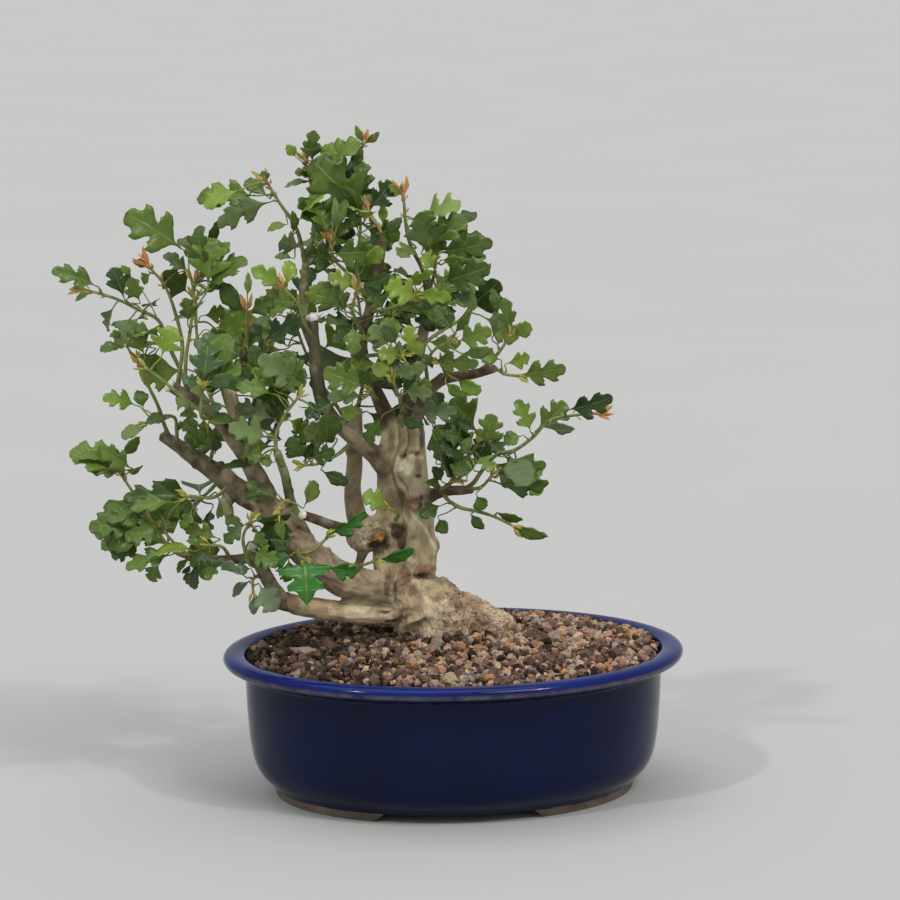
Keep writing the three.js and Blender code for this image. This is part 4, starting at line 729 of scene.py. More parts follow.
# Marks on the front of the trunk and the limbs, two of them painted shade:
# (across, up, half width, half height, how far it is sunk, screen colour, how strongly it is painted)
MARKS = [
    (-24.8, 119.5, 2.6, 3.6, 2.6, (62, 44, 34), 0.95),
    (-23.2, 114.6, 1.5, 4.4, 1.8, (54, 38, 30), 0.9),
    (-21.8, 121.0, 1.2, 4.0, 0.6, (110, 92, 64), 0.8),
    (-27.4, 122.6, 1.6, 1.2, 0.8, (96, 72, 56), 0.8),
    (-30.0, 114.5, 1.3, 3.2, 1.6, DARK_WOOD, 0.8),
    (-28.0, 113.8, 1.2, 4.0, -1.0, (186, 164, 138), 0.8),
    # Painted shade under the cut end of the burl
    (-34.6, 112.6, 3.8, 2.4, 1.6, (58, 38, 28), 0.95),
    (-20.8, 149.3, 3.6, 4.4, 0.3, PALE_PATCH, 1.0),
    (-21.9, 154.9, 1.5, 1.3, 1.5, RED_WOOD, 0.9),
    (-15.4, 155.2, 1.4, 1.2, 1.2, RED_WOOD, 0.9),
    (-18.6, 156.6, 4.6, 1.0, -0.9, (124, 100, 84), 0.8),
    (-20.4, 142.4, 2.4, 3.4, 0.0, (128, 122, 84), 0.8),
    (-15.6, 149.2, 1.6, 4.6, -0.6, (132, 104, 92), 0.5),
    (-15.3, 145.0, 1.5, 1.0, 0.9, (88, 62, 46), 0.9),
    (-13.8, 135.2, 1.1, 1.2, 1.0, (84, 54, 54), 0.9),
    (-17.6, 137.0, 2.6, 1.5, -0.6, (196, 164, 144), 0.6),
    (-13.2, 163.0, 1.5, 7.5, 1.0, (66, 48, 44), 0.9),
    (-18.6, 163.0, 3.2, 6.0, 0.3, (122, 112, 84), 0.75),
    (-24.0, 161.0, 2.0, 7.0, -0.3, (190, 174, 134), 0.75),
    (-27.6, 160.0, 1.5, 7.0, 0.2, (118, 110, 82), 0.6),
    # Painted shade where the branch joins the trunk
    (-34.7, 153.8, 3.4, 3.0, 0.8, (96, 78, 78), 0.7),
    (-26.0, 134.0, 4.4, 5.6, 0.0, (108, 90, 68), 0.7),
    (-13.2, 98.7, 5.0, 1.5, 1.8, (66, 40, 32), 0.95),
    (-12.8, 102.4, 4.6, 2.4, -0.6, (132, 100, 82), 0.75),
    (-10.0, 93.6, 7.0, 3.4, -0.4, (184, 166, 124), 0.8),
    (-15.8, 86.0, 2.4, 4.6, 0.7, (116, 76, 62), 0.5),
    (-29.8, 94.0, 1.2, 6.0, 1.3, (84, 66, 50), 0.85),
    (-26.4, 91.0, 1.0, 5.0, 1.1, (88, 68, 52), 0.8),
    (-22.4, 97.5, 3.2, 4.5, 0.6, (116, 86, 70), 0.7),
    (-26.5, 103.0, 3.0, 3.6, -0.4, (146, 120, 98), 0.6),
    (-18.6, 92.0, 2.0, 3.0, 0.7, (96, 64, 50), 0.6),
    (-33.2, 93.0, 2.0, 5.0, 0.0, (136, 130, 104), 0.6),
    (-31.2, 82.4, 2.6, 0.8, 1.0, (70, 52, 40), 0.9),
    (-28.2, 77.8, 3.0, 0.7, 0.9, (70, 52, 40), 0.9),
    (-43.0, 82.6, 6.5, 6.0, 0.0, (222, 208, 172), 0.95),
    (-51.6, 83.2, 1.6, 7.0, 0.3, (176, 152, 114), 0.9),
    (-60.0, 84.8, 6.0, 6.0, 0.0, (208, 182, 140), 0.85),
    (-74.5, 86.5, 5.0, 6.0, 0.0, (120, 98, 72), 0.85),
    (-43.5, 93.5, 5.0, 6.0, 0.0, (168, 152, 122), 0.7),
    (-54.0, 95.0, 4.0, 5.0, 0.0, (132, 112, 88), 0.7),
    (-92.5, 130.5, 3.0, 2.2, 0.8, (104, 62, 54), 0.8),
    (-101.0, 146.5, 3.4, 3.0, -0.8, (206, 178, 150), 0.7),
    (-72.5, 117.0, 1.3, 1.1, 0.6, (84, 48, 44), 0.9),
    (-69.5, 122.0, 1.0, 0.9, 0.5, (84, 48, 44), 0.8),
]
CUT_PLACE = (-33.2, 117.2)
KNOT_PLACE = (-17.4, 132.4)
KNOB_PLACE = (-7.6, 113.4)


def limb_lines():
    """Every limb as (name of its tone, smooth line of place and radius)."""
    rows = [("root", rows) for rows in ROOT_ROWS] + [("trunk", rows) for rows in TRUNK_ROWS]
    rows += [(LIMB_TONES.get(name, "twig"), rows) for name, rows in LIMB_ROWS.items()]
    rows += [("twig", HORN)]
    lines = []
    for tone, limb in rows:
        placed = [(*seen(*row[:3]), row[3]) for row in limb]
        lines.append((tone, smooth_line(placed, 2.0)))
    return lines


def wood_body(lines):
    """Limbs and their knobs as one closed skin, from a fine voxel grid."""
    draw = random.Random(WOOD_SEED)
    shape = Shape()
    for _, line in lines:
        radii = line[:, 3] + 0.25 * (line[:, 3] < 3)
        points, faces = tube(line[:, :3], radii, BARK_SIDES)
        shape.add(points, faces)
        ways, first, second = carried_frames(line[:, :3])
        step = draw.randint(3, 6)
        while step < len(line) - 3:
            radius = radii[step]
            angle = draw.uniform(0, 2 * math.pi)
            out = first[step] * math.cos(angle) + second[step] * math.sin(angle)
            size = radius * draw.uniform(0.35, 0.6) if radius < 7 else radius * draw.uniform(0.2, 0.34)
            centre = line[step, :3] + out * (radius - 0.35 * size)
            knob_points, knob_faces = ball(centre, size, ways[step], draw)
            shape.add(knob_points, knob_faces)
            step += draw.randint(4, 9)
    wood = new_piece("trunk_and_limbs", shape, [BARK], ["tree"])
    grid = wood.modifiers.new("grid", "REMESH")
    grid.mode = "VOXEL"
    grid.voxel_size = BARK_VOXEL * MM
    grid.use_smooth_shade = True
    soften = wood.modifiers.new("soften", "SMOOTH")
    soften.factor = 0.5
    soften.iterations = 3
    return applied(wood)


def ball(centre, size, way, draw, sides=8, rings=5, squash=1.0):
    """A lumpy closed ball."""
    across = unit(np.cross(way, (0.3, 0.2, 0.93)))
    other = np.cross(way, across)
    points = [centre - way * size * squash]
    for ring in range(1, rings):
        polar = math.pi * ring / rings
        for i in range(sides):
            angle = i / sides * 2 * math.pi
            reach = size * draw.uniform(0.88, 1.12)
            out = across * math.cos(angle) + other * math.sin(angle)
            points.append(centre - way * reach * squash * math.cos(polar) + out * reach * math.sin(polar))
    points.append(centre + way * size * squash)
    faces = []
    last = len(points) - 1
    for i in range(sides):
        j = (i + 1) % sides
        faces.append((0, 1 + j, 1 + i))
        faces.append((last, last - sides + i, last - sides + j))
        for ring in range(rings - 2):
            a, b = 1 + ring * sides + i, 1 + ring * sides + j
            faces.append((a, b, b + sides, a + sides))
    return np.array(points), faces


def limb_places(points, lines):
    """For each point of the bark: its limb's index, and its place along and across that limb."""
    centres, owners, froms = [], [], []
    for index, (_, line) in enumerate(lines):
        ways, first, second = carried_frames(line[:, :3])
        runs = np.concatenate([[0], np.cumsum(np.linalg.norm(np.diff(line[:, :3], axis=0), axis=1))])
        for k in range(len(line)):
            centres.append(line[k])
            owners.append(index)
            froms.append((ways[k], first[k], second[k], runs[k]))
    tree = KDTree(len(centres))
    for k, centre in enumerate(centres):
        tree.insert(centre[:3], k)
    tree.balance()
    owner = np.zeros(len(points), int)
    place = np.zeros((len(points), 3))
    for i, point in enumerate(points):
        found = tree.find_n(point, 7)
        _, k, _ = min(found, key=lambda hit: hit[2] - centres[hit[1]][3])
        way, one, two, run = froms[k]
        offset = point - centres[k][:3]
        owner[i] = owners[k]
        place[i] = run + offset @ way, offset @ one, offset @ two
    return owner, place


def dimple(view, across, up, wide, tall=None, sharp=1.0, furthest=12.0):
    """How strongly each point of the front belongs to an oval spot, from 0 to 1."""
    apart = np.hypot((view[:, 0] - across) / wide, (view[:, 1] - up) / (tall or wide))
    return np.clip(sharp * np.clip(1 - apart, 0, 1) * (view[:, 2] < furthest), 0, 1)


# The seam between the two fused trunks, from the top down: (across, up)
SEAM = [
    (-22.2, 169), (-21.6, 160), (-23, 155.3), (-24.8, 151.5), (-25.7, 147), (-25, 144.5), (-23.5, 141.3),
    (-22.3, 137.8), (-21, 133.7), (-20.3, 130), (-18.5, 127), (-16, 124), (-13.2, 121.3), (-11.2, 117),
    (-9.8, 112.4), (-9.4, 109),
]
SEAM_DEPTH = 7


def seam_nearness(view, shift, reach):
    """How near each point of the front lies to the seam."""
    nearest = np.full(len(view), 99.0)
    for (u0, v0), (u1, v1) in zip(SEAM, SEAM[1:]):
        way = np.array([u1 - u0, v1 - v0])
        offset = view[:, :2] - (u0 + shift, v0)
        share = np.clip(offset @ way / (way @ way), 0, 1)
        nearest = np.minimum(nearest, np.linalg.norm(offset - share[:, None] * way, axis=1))
    return np.where(view[:, 2] < SEAM_DEPTH, np.clip(1 - nearest / reach, 0, 1), 0)


def flakes(place):
    """Bark in thin curling plates: the height of a plate from -1 to 1, and how near its broken edge is."""
    warped = Vector(place) + noise.noise_vector(Vector(place) / 6) * 3.0
    field = noise.noise(warped / 5.0) + 0.4 * noise.noise(warped / 2.2)
    steps = field * 3.2
    share = steps - math.floor(steps)
    plate = (math.floor(steps) + share * 0.35 + 0.65 * smooth_step(0.82, 1.0, share)) / 3.2
    edge = smooth_step(0.62, 0.86, share) * (1 - smooth_step(0.9, 1.0, share))
    return plate, edge


def spread_out(mesh, values, times=14):
    """Values of the points, evened out over their neighbours."""
    edges = read_rows(mesh.edges, "vertices", 2, int)
    first, second = edges.T
    near = np.bincount(edges.ravel(), minlength=len(values))[:, None]
    for _ in range(times):
        total = np.zeros_like(values)
        np.add.at(total, first, values[second])
        np.add.at(total, second, values[first])
        values = 0.5 * values + 0.5 * total / near
    return values


def roughness(view, points, kinds, front):
    """How flaky the bark is: most on the right root, the collar and the burl. With it, how low a point is."""
    woody = (kinds != "pale") & (kinds != "tan")
    low = (1 - smooth_step(84, 106, points[:, 2])) * woody
    right = smooth_step(-14, 2, view[:, 0]) * (1 - smooth_step(96, 103, view[:, 1]))
    smooth_front = dimple(view, -12, 86, 13, 12, sharp=2, furthest=8)
    burl = dimple(view, -39, 117, 13, 11, sharp=1.8)
    collar = dimple(view, -20, 99, 15, 9, sharp=1.8)
    rough = np.clip(0.35 * low + 0.65 * right + 0.6 * collar + burl - 0.35 * smooth_front, 0, 1)
    return np.where(front, rough, np.clip(0.7 * low, 0, 1)), low, burl


def carve_bark(wood, lines):
    """Roots, flakes, fibres, the seam, knots and cuts: all moved in the mesh, with their tones and some
    painted shade.
    """
    mesh = wood.data
    points = read_rows(mesh.vertices, "co") / MM
    normals = read_rows(mesh.vertices, "normal")
    count = len(points)
    owner, place = limb_places(points, lines)
    view = as_seen(points)
    front = normals @ unit(EYE - points.mean(axis=0)) > -0.1
    kinds = np.array([tone for tone, _ in lines])[owner]
    rough, low, burl = roughness(view, points, kinds, front)

    fibre, scale, flake_edge, lump, broad, blotch = (np.zeros(count) for _ in range(6))
    for i in range(count):
        run, one, two = place[i]
        fibre[i] = noise.noise((run / 8, one / 1.3, two / 1.3))
        lump[i] = noise.noise(points[i] / 8)
        broad[i] = noise.noise(points[i] / 20)
        blotch[i] = noise.noise(points[i] / 3.4)
        if rough[i] > 0.04:
            scale[i], flake_edge[i] = flakes(points[i])
    thick = np.clip(np.linalg.norm(place[:, 1:], axis=1) / 9, 0.12, 1)
    relief = thick * (0.6 * fibre + 1.5 * lump * (0.4 + low) + 0.35 * blotch)
    relief -= 0.6 * ((kinds == "olive") | (kinds == "brown"))
    relief += rough * (1.1 * scale - 0.5 * flake_edge) * np.clip(thick * 1.5, 0.3, 1)

    kept = {kind: (*linear(*tone), gain) for kind, (*tone, gain) in BARK_KINDS.items()}
    blended = spread_out(mesh, np.array([kept[kind] for kind in kinds]))
    tones, gain = blended[:, :3], blended[:, 3:]

    def paint(share, colour):
        nonlocal tones
        tones = tones * (1 - share[:, None]) + linear(*colour) * share[:, None]

    paint(0.7 * low * (kinds != "pale"), BARK_KINDS["root"][:3])
    paint(0.55 * np.clip(2.2 * broad, 0, 1), (206, 192, 158))
    paint(0.5 * np.clip(-2.0 * broad, 0, 1), (118, 98, 76))
    paint(0.55 * np.clip(-2.2 * lump, 0, 1), (104, 80, 62))
    paint(0.45 * np.clip(2.4 * blotch - 0.3, 0, 1), (196, 180, 148))
    paint(0.4 * np.clip(-2.4 * blotch - 0.3, 0, 1), (92, 70, 56))
    paint(np.clip(rough * (0.1 - scale) * 1.2, 0, 0.6), (140, 108, 86))
    paint(np.clip(rough * scale * 1.2, 0, 0.75), (212, 188, 162))
    # Painted shade along the broken edges of the flakes
    paint(np.clip(rough * flake_edge * 0.8, 0, 0.6), (96, 72, 58))
    paint(0.5 * burl * np.clip(lump + 0.4, 0, 1), (190, 182, 166))
    paint(0.8 * smooth_step(166, 188, view[:, 1]) * (kinds == "brown"), (96, 96, 68))

    for across, up, wide, tall, sunk, colour, strength in MARKS:
        spot = dimple(view, across, up, wide * 1.25, tall * 1.25, sharp=2) * front
        relief -= sunk * spot
        paint(strength * np.clip(spot * (1.3 + 1.3 * blotch), 0, 1), colour)
    cut = dimple(view, *CUT_PLACE, 2.5, 3.6, sharp=2.5) * front
    cut_rim = dimple(view, *CUT_PLACE, 5.0, sharp=2) * (1 - cut) * front
    core = dimple(view, CUT_PLACE[0] + 0.2, CUT_PLACE[1] - 0.6, 1.2, 1.3, sharp=2.5) * front
    knot_rim = dimple(view, *KNOT_PLACE, 4.6, sharp=2) * front
    knot = dimple(view, *KNOT_PLACE, 2.3, sharp=2.5) * front
    knob = dimple(view, *KNOB_PLACE, 4.0, sharp=1.5)
    above = smooth_step(122, 130, view[:, 1])
    groove = seam_nearness(view, 0.0, 3.0) * front
    lips = (seam_nearness(view, 3.0, 2.4) + seam_nearness(view, -3.0, 2.4)) * front
    ridge = seam_nearness(view, 0.6, 0.95) * front
    right_top = (view[:, 0] > -22.0) * smooth_step(168, 172, view[:, 1])
    top = np.maximum(right_top, smooth_step(171, 175, view[:, 1])) * (kinds == "trunk")
    relief += 1.0 * cut_rim - 0.8 * cut + 1.5 * knot_rim - 2.4 * knot + 1.5 * knob
    relief += -2.6 * groove * above + 0.9 * lips * above + 0.7 * ridge - 1.4 * top * (0.4 + 1.6 * lump)

    paint(0.7 * cut_rim, DARK_WOOD)
    paint(0.9 * cut, CUT_WOOD)
    paint(core, (252, 222, 150))
    paint(0.55 * np.clip(groove * 1.3 - 0.1, 0, 1) * above, (86, 68, 52))
    paint(0.9 * np.clip(ridge * 1.6, 0, 1) * (1 - 0.6 * np.clip(2 * blotch, 0, 1)), SEAM_PALE)
    paint(0.9 * top, (62, 42, 34))
    paint(knot_rim * (1 - knot), (52, 30, 26))
    paint(0.9 * knot, (150, 98, 78))
    # Painted shade where the wood goes into the soil
    paint(0.55 * (1 - smooth_step(66.5, 70.5, points[:, 2])), (92, 70, 54))

    tones = tones * gain
    tones *= np.minimum(1, BRIGHTEST_BARK / tones.max(axis=1))[:, None]
    points += normals * np.clip(relief, CARVED_DEEPEST, CARVED_HIGHEST)[:, None]
    mesh.vertices.foreach_set("co", (points * MM).ravel())
    mesh.update()
    set_attribute(mesh, "tone", "FLOAT_COLOR", "color", np.column_stack([tones, np.ones(count)]))
    set_attribute(mesh, "spot", "FLOAT_VECTOR", "vector", place * (0.35, 1, 1))
    set_attribute(mesh, "scaly", "FLOAT", "value", np.clip(rough * 1.4, 0, 1))


def set_attribute(mesh, name, kind, key, values):
    if name in mesh.attributes:
        mesh.attributes.remove(mesh.attributes[name])
    mesh.attributes.new(name, kind, "POINT").data.foreach_set(key, values.ravel())


def make_seals():
    """Wound paste over four cut ends, thick and uneven."""
    draw = random.Random(PASTE_SEED)
    for name, limb in SEALED_LIMBS.items():
        before, end = (seen(*row[:3]) for row in LIMB_ROWS[limb][-2:])
        way = unit(end - before)
        radius = LIMB_ROWS[limb][-1][3]
        shape = Shape()
        points, faces = ball(end + way * 0.5, radius + 0.2, way, draw, 18, 10, 0.6)
        lumps = np.array([noise.noise(Vector(point) / 1.6) for point in points])
        out = points - (end + way * 0.7)
        points += out * (0.22 * lumps)[:, None]
        shape.add(points, faces)
        new_piece(name.replace("seal", "paste"), shape, [PASTE], [name])


# Soil


def soil_height(share):
    return SOIL_EDGE_HEIGHT + SOIL_CROWN * (1 - share**SOIL_CURVE)


def make_soil_bed():
    """The body of the soil under its grains, down to the pot's floor."""
    sides = SOIL_SIDES
    turns = [i / sides * 2 * math.pi for i in range(sides)]
    points = []
    for ring in range(SOIL_RINGS):
        share = 1 - ring / SOIL_RINGS
        for angle in turns:
            x = (POT_LENGTH / 2 - SOIL_BED_INSET) * share * math.cos(angle)
            y = (POT_DEPTH / 2 - SOIL_BED_INSET) * share * math.sin(angle)
            bumps = 0.8 * noise.noise(Vector((x / 5, y / 5, 1.7)))
            points.append((x, y, soil_height(share) - SOIL_BED_SINK + bumps))
    points.append((0, 0, soil_height(0) - SOIL_BED_SINK))
    top = len(points) - 1
    inner = top - sides
    faces = ring_faces(SOIL_RINGS, sides)
    faces += [(inner + i, inner + (i + 1) % sides, top) for i in range(sides)]
    level = 0
    for height, inset in ((58, 17.5), (24, 19.8), (FLOOR_TOP + 0.6, 30)):
        start = len(points)
        across, deep = POT_LENGTH / 2 - inset, POT_DEPTH / 2 - inset
        points += [(across * math.cos(angle), deep * math.sin(angle), height) for angle in turns]
        for i in range(sides):
            j = (i + 1) % sides
            faces.append((level + i, start + i, start + j, level + j))
        level = start
    faces.append(tuple(level + i for i in reversed(range(sides))))
    shape = Shape()
    shape.add(np.array(points) + POT_MIDDLE, faces)
    new_piece("soil_bed", shape, [SOIL], ["soil"])


FLAT_STONE = (-68, -23, 64)
FLAT_STONE_SIZE = (5.2, 3.4, 2.2)
FLAT_STONE_TONE = (176, 150, 138)
GRAIN_TONES = {
    "brown": [(160, 122, 104), (136, 104, 90), (186, 144, 124), (122, 94, 80), (206, 156, 112)],
    "beige": [(216, 192, 164), (196, 170, 148), (222, 196, 160), (178, 166, 154), (210, 174, 154)],
    "dark": [(78, 60, 48), (96, 78, 64), (60, 46, 38), (124, 104, 86)],
}
# Layers of grains from the lowest up: (distance apart, share of places taken, lift, radius)
GRAIN_LAYERS = (
    (GRAIN_PITCH, 1.0, -1.3, 1.75),
    (GRAIN_PITCH * 1.1, 0.9, 0.4, 1.7),
    (GRAIN_PITCH * 2.1, 0.8, 1.2, 2.2),
)


def grain_shapes(draw):
    """Broken stones: balls cut by random planes, with a rough skin."""
    mesh = bmesh.new()
    bmesh.ops.create_icosphere(mesh, subdivisions=2, radius=1.0)
    ball_points = np.array([vertex.co[:] for vertex in mesh.verts])
    faces = [tuple(vertex.index for vertex in face.verts) for face in mesh.faces]
    mesh.free()
    shapes = []
    for kind in range(GRAIN_KINDS):
        points = ball_points * [draw.uniform(0.8, 1.2) for _ in range(3)]
        for _ in range(GRAIN_CUTS):
            way = unit(np.array([draw.gauss(0, 1) for _ in range(3)]))
            beyond = np.maximum(points @ way - draw.uniform(0.55, 0.85), 0)
            points = points - beyond[:, None] * way
        rough = np.array([noise.noise(Vector(point) * 2.6 + Vector((kind * 7.0, 0, 0))) for point in points])
        shapes.append(points * (1 + 0.55 * rough)[:, None])
    return shapes, faces


def make_grains(wood):
    """The planting mix lies in three layers over the soil, clear of the bark."""
    draw = random.Random(GRAIN_SEED)
    shapes, faces = grain_shapes(draw)
    mesh = wood.data
    bark = BVHTree.FromPolygons([v.co / MM for v in mesh.vertices], [p.vertices[:] for p in mesh.polygons])
    choices = {kind: [linear(*tone) for tone in tones] for kind, tones in GRAIN_TONES.items()}
    groups = {kind: Shape() for kind in GRAIN_TONES}
    half_length, half_depth = POT_LENGTH / 2 - SOIL_EDGE_INSET, POT_DEPTH / 2 - SOIL_EDGE_INSET
    for pitch, chance, lift, size in GRAIN_LAYERS:
        for row in np.arange(-half_depth, half_depth, pitch * 0.87):
            for column in np.arange(-half_length, half_length, pitch):
                x = column + draw.uniform(-0.5, 0.5) * pitch
                y = row + draw.uniform(-0.5, 0.5) * pitch
                radius = size * draw.lognormvariate(0, 0.24)
                share = math.hypot(x / (half_length - radius * 0.6), y / (half_depth - radius * 0.6))
                if share > 1 or draw.random() > chance:
                    continue
                heap = 0.7 * noise.noise(Vector((x / 14, y / 14, 5.2)))
                place = np.array([x, y, soil_height(share) + lift + heap]) + POT_MIDDLE
                hit, normal, _, away = bark.find_nearest(place)
                if (Vector(place) - hit).dot(normal) < radius * 0.35:
                    continue
                kind = grain_kind(place, away, draw)
                tone = draw.choice(choices[kind]) * draw.uniform(0.6, 1.1)
                turn = Matrix.Rotation(draw.uniform(0, 2 * math.pi), 3, "Z")
                turn = turn @ Matrix.Rotation(draw.uniform(0, math.pi), 3, "X")
                points = draw.choice(shapes) @ np.array(turn).T * radius + place
                groups[kind].add(points, faces, tone)
    flat = from_view(*FLAT_STONE)
    local = flat - POT_MIDDLE
    flat[2] = soil_height(math.hypot(local[0] / half_length, local[1] / half_depth)) + 3.0
    groups["beige"].add(shapes[1] * FLAT_STONE_SIZE + flat, faces, linear(*FLAT_STONE_TONE))
    for name, shape in groups.items():
        new_piece("grains_" + name, shape, [GRAIN], ["soil"], smooth=False)


def grain_kind(place, away, draw):
    """Darker under the low limb on the left and beside the trunk, for moister soil and painted shade there;
    mixed elsewhere.
    """
    local = place - POT_MIDDLE
    # More dark grains on the left and beside the trunk: moister soil with the tree's shadow painted in
    damp_and_shade = (1 - smooth_step(-66, -26, local[0])) * 0.6
    damp_and_shade = max(damp_and_shade, (1 - smooth_step(3, 16, away)) * (1 - smooth_step(0, 24, local[0])) * 0.75)
    chance = draw.random()
    if chance < DARK_GRAINS + damp_and_shade:
        return "dark"
    return "brown" if chance < DARK_OR_BROWN_GRAINS + 0.5 * damp_and_shade else "beige"


# Leaves. Each kind is (points along half an outline, strips from the rib to the edge, that outline from the
# base to the tip as (share of length, share of half width)).
BLADES = {
    "star": (49, 3, [
        (0, 0.03), (0.04, 0.10), (0.07, 0.45), (0.11, 0.85), (0.16, 1.0), (0.24, 0.88), (0.32, 0.58),
        (0.37, 0.40), (0.42, 0.44), (0.50, 0.62), (0.58, 0.68), (0.65, 0.50), (0.69, 0.34), (0.78, 0.27),
        (0.90, 0.13), (1, 0),
    ]),
    "five": (45, 3, [
        (0, 0.03), (0.10, 0.05), (0.18, 0.16), (0.26, 0.50), (0.34, 0.84), (0.41, 1.02), (0.47, 1.0),
        (0.50, 0.78), (0.505, 0.52), (0.53, 0.38), (0.60, 0.54), (0.69, 0.84), (0.755, 0.90), (0.79, 0.72),
        (0.80, 0.50), (0.83, 0.42), (0.90, 0.48), (0.955, 0.38), (0.99, 0.16), (1, 0),
    ]),
    "lobed": (41, 3, [
        (0, 0.03), (0.12, 0.07), (0.23, 0.26), (0.34, 0.62), (0.45, 0.94), (0.53, 1.06), (0.59, 0.96),
        (0.61, 0.72), (0.635, 0.52), (0.70, 0.62), (0.79, 0.80), (0.85, 0.74), (0.875, 0.52), (0.92, 0.44),
        (0.975, 0.24), (1, 0),
    ]),
    "broad": (29, 3, [
        (0, 0.035), (0.12, 0.12), (0.25, 0.46), (0.38, 0.82), (0.51, 1.04), (0.63, 1.06), (0.70, 0.92),
        (0.76, 0.84), (0.84, 0.80), (0.91, 0.62), (0.965, 0.34), (1, 0),
    ]),
    "plain": (17, 2, [
        (0, 0.06), (0.14, 0.4), (0.28, 0.9), (0.44, 1.08), (0.6, 1.0), (0.76, 0.74), (0.92, 0.34), (1, 0),
    ]),
}
TEETH = {"star": 12, "five": 11, "lobed": 10, "broad": 7, "plain": 4}


def blade_template(kind):
    """(share along, share aside) of the edge and of the rib points that its veins start from."""
    count, strips, outline = BLADES[kind]
    edge = smooth_line([(along, aside, 0) for along, aside in outline], 0.004)[:, :2]
    runs = np.concatenate([[0], np.cumsum(np.linalg.norm(np.diff(edge, axis=0), axis=1))])
    at = np.linspace(0, runs[-1], count)
    edge = np.column_stack([np.interp(at, runs, edge[:, 0]), np.interp(at, runs, edge[:, 1])])
    tooth = TOOTH_DEPTH * (1 - np.abs(np.sin(at / runs[-1] * TEETH[kind] * math.pi)))
    tooth *= smooth_step(0.3, 0.6, edge[:, 1])
    edge[:, 1] *= 1 + tooth - 0.04
    edge[:, 0] += 0.3 * tooth
    edge[-1] = (1, 0)
    rib = np.maximum.accumulate(np.clip(edge[:, 0] - 0.2 * edge[:, 1], 0, 1))
    rib = 0.5 * rib + 0.5 * np.linspace(0, 1, count)
    rib[0], rib[-1] = 0, 1
    return edge, rib, strips


TEMPLATES = {kind: blade_template(kind) for kind in BLADES}


def add_leaf(shape, leaf, tone, draw, under=0.0):
    """A blade with lobes, folded along its rib, and its stalk."""
    root, base, tip = leaf["root"], leaf["base"], leaf["tip"]
    width = leaf["width"]
    edge, rib, strips = TEMPLATES[leaf["kind"]]
    length = np.linalg.norm(tip - base)
    axis, facing, side = leaf_directions(base, tip, leaf["turn"], leaf.get("facing"))
    curl = draw.uniform(-0.05, 0.10)
    cup = draw.uniform(-0.10, 0.12)
    phase = draw.uniform(0, 6.28)
    sway = draw.uniform(-0.06, 0.06)
    right, left = draw.uniform(0.9, 1.06), draw.uniform(0.9, 1.06)

    shares = np.arange(-strips, strips + 1) / strips
    along = rib[:, None] + (edge[:, 0] - rib)[:, None] * np.abs(shares)
    aside = edge[:, 1][:, None] * shares * np.where(shares < 0, left, right)
    vein = np.broadcast_to(rib[:, None], along.shape)
    share = np.broadcast_to(shares, along.shape)
    rows, columns = along.shape
    along, aside, vein, share = (values.reshape(-1) for values in (along, aside, vein, share))
    lift = BLADE_ARCH * length * 4 * along * (1 - along)
    lift = lift + BLADE_FOLD * (np.abs(aside) * width / 2) * (1 - along**3)
    lift = lift + length * (curl * along**2 * 0.6 - cup * 0.5 * np.abs(aside) ** 2)
    lift = lift + 0.022 * length * np.sin(vein * 19 + phase) * np.abs(share) ** 2
    lift = lift + 0.006 * length * np.cos(vein * 6 * 2 * math.pi) * np.abs(share)
    bend = sway * length * along * (1 - along)
    points = base + axis * (along * length)[:, None] + side * (aside * width / 2 + bend)[:, None]
    points = points + facing * lift[:, None]
    half = BLADE_THICKNESS / 2 * np.where(np.abs(share) > 0.9, 0.5, 1.0)[:, None]
    count = len(points)
    both = np.vstack([points + facing * half, points - facing * half])
    spots = np.column_stack([np.tile(vein, 2), np.tile(share, 2), np.repeat([under, 1 - under], count)])

    faces = []
    for row in range(rows - 1):
        for column in range(columns - 1):
            a = row * columns + column
            b, c, d = a + 1, a + columns + 1, a + columns
            faces += [(a, b, c, d), (count + d, count + c, count + b, count + a)]
        a, d = row * columns, (row + 1) * columns
        faces.append((a, d, count + d, count + a))
        a, d = a + columns - 1, d + columns - 1
        faces.append((d, a, count + a, count + d))
    for a in range(columns - 1):
        faces.append((a + 1, a, count + a, count + a + 1))
        a += (rows - 1) * columns
        faces.append((a, a + 1, count + a + 1, count + a))
    shape.add(both, faces, tone, spots, LEAF_SLOT)

    stalk = np.linalg.norm(base - root)
    middle = (root + base) / 2 + facing * 0.12 * stalk
    before = base - axis * 0.15 * stalk
    line = smooth_line([root, middle, before, base + axis * 0.05 * length + facing * 0.1], 1.2)
    points, faces = tube(line, np.linspace(0.5, 0.3, len(line)) * min(1.0, 0.45 + length / 28), STALK_SIDES)
    shape.add(points, faces, stalk_tone(tone, draw), slot=STEM_SLOT)


def stalk_tone(tone, draw):
    return 0.55 * np.asarray(tone) + 0.45 * linear(150, 160, 84) * draw.uniform(0.8, 1.1)


def leaf_directions(base, tip, turn, towards=None):
    axis = unit(tip - base)
    facing = EYE - base if towards is None else towards
    facing = unit(facing - axis * (facing @ axis))
    facing = rotated(facing, axis, turn)
    return axis, facing, np.cross(axis, facing)


LEAF_SLOT = 0
STEM_SLOT = 1

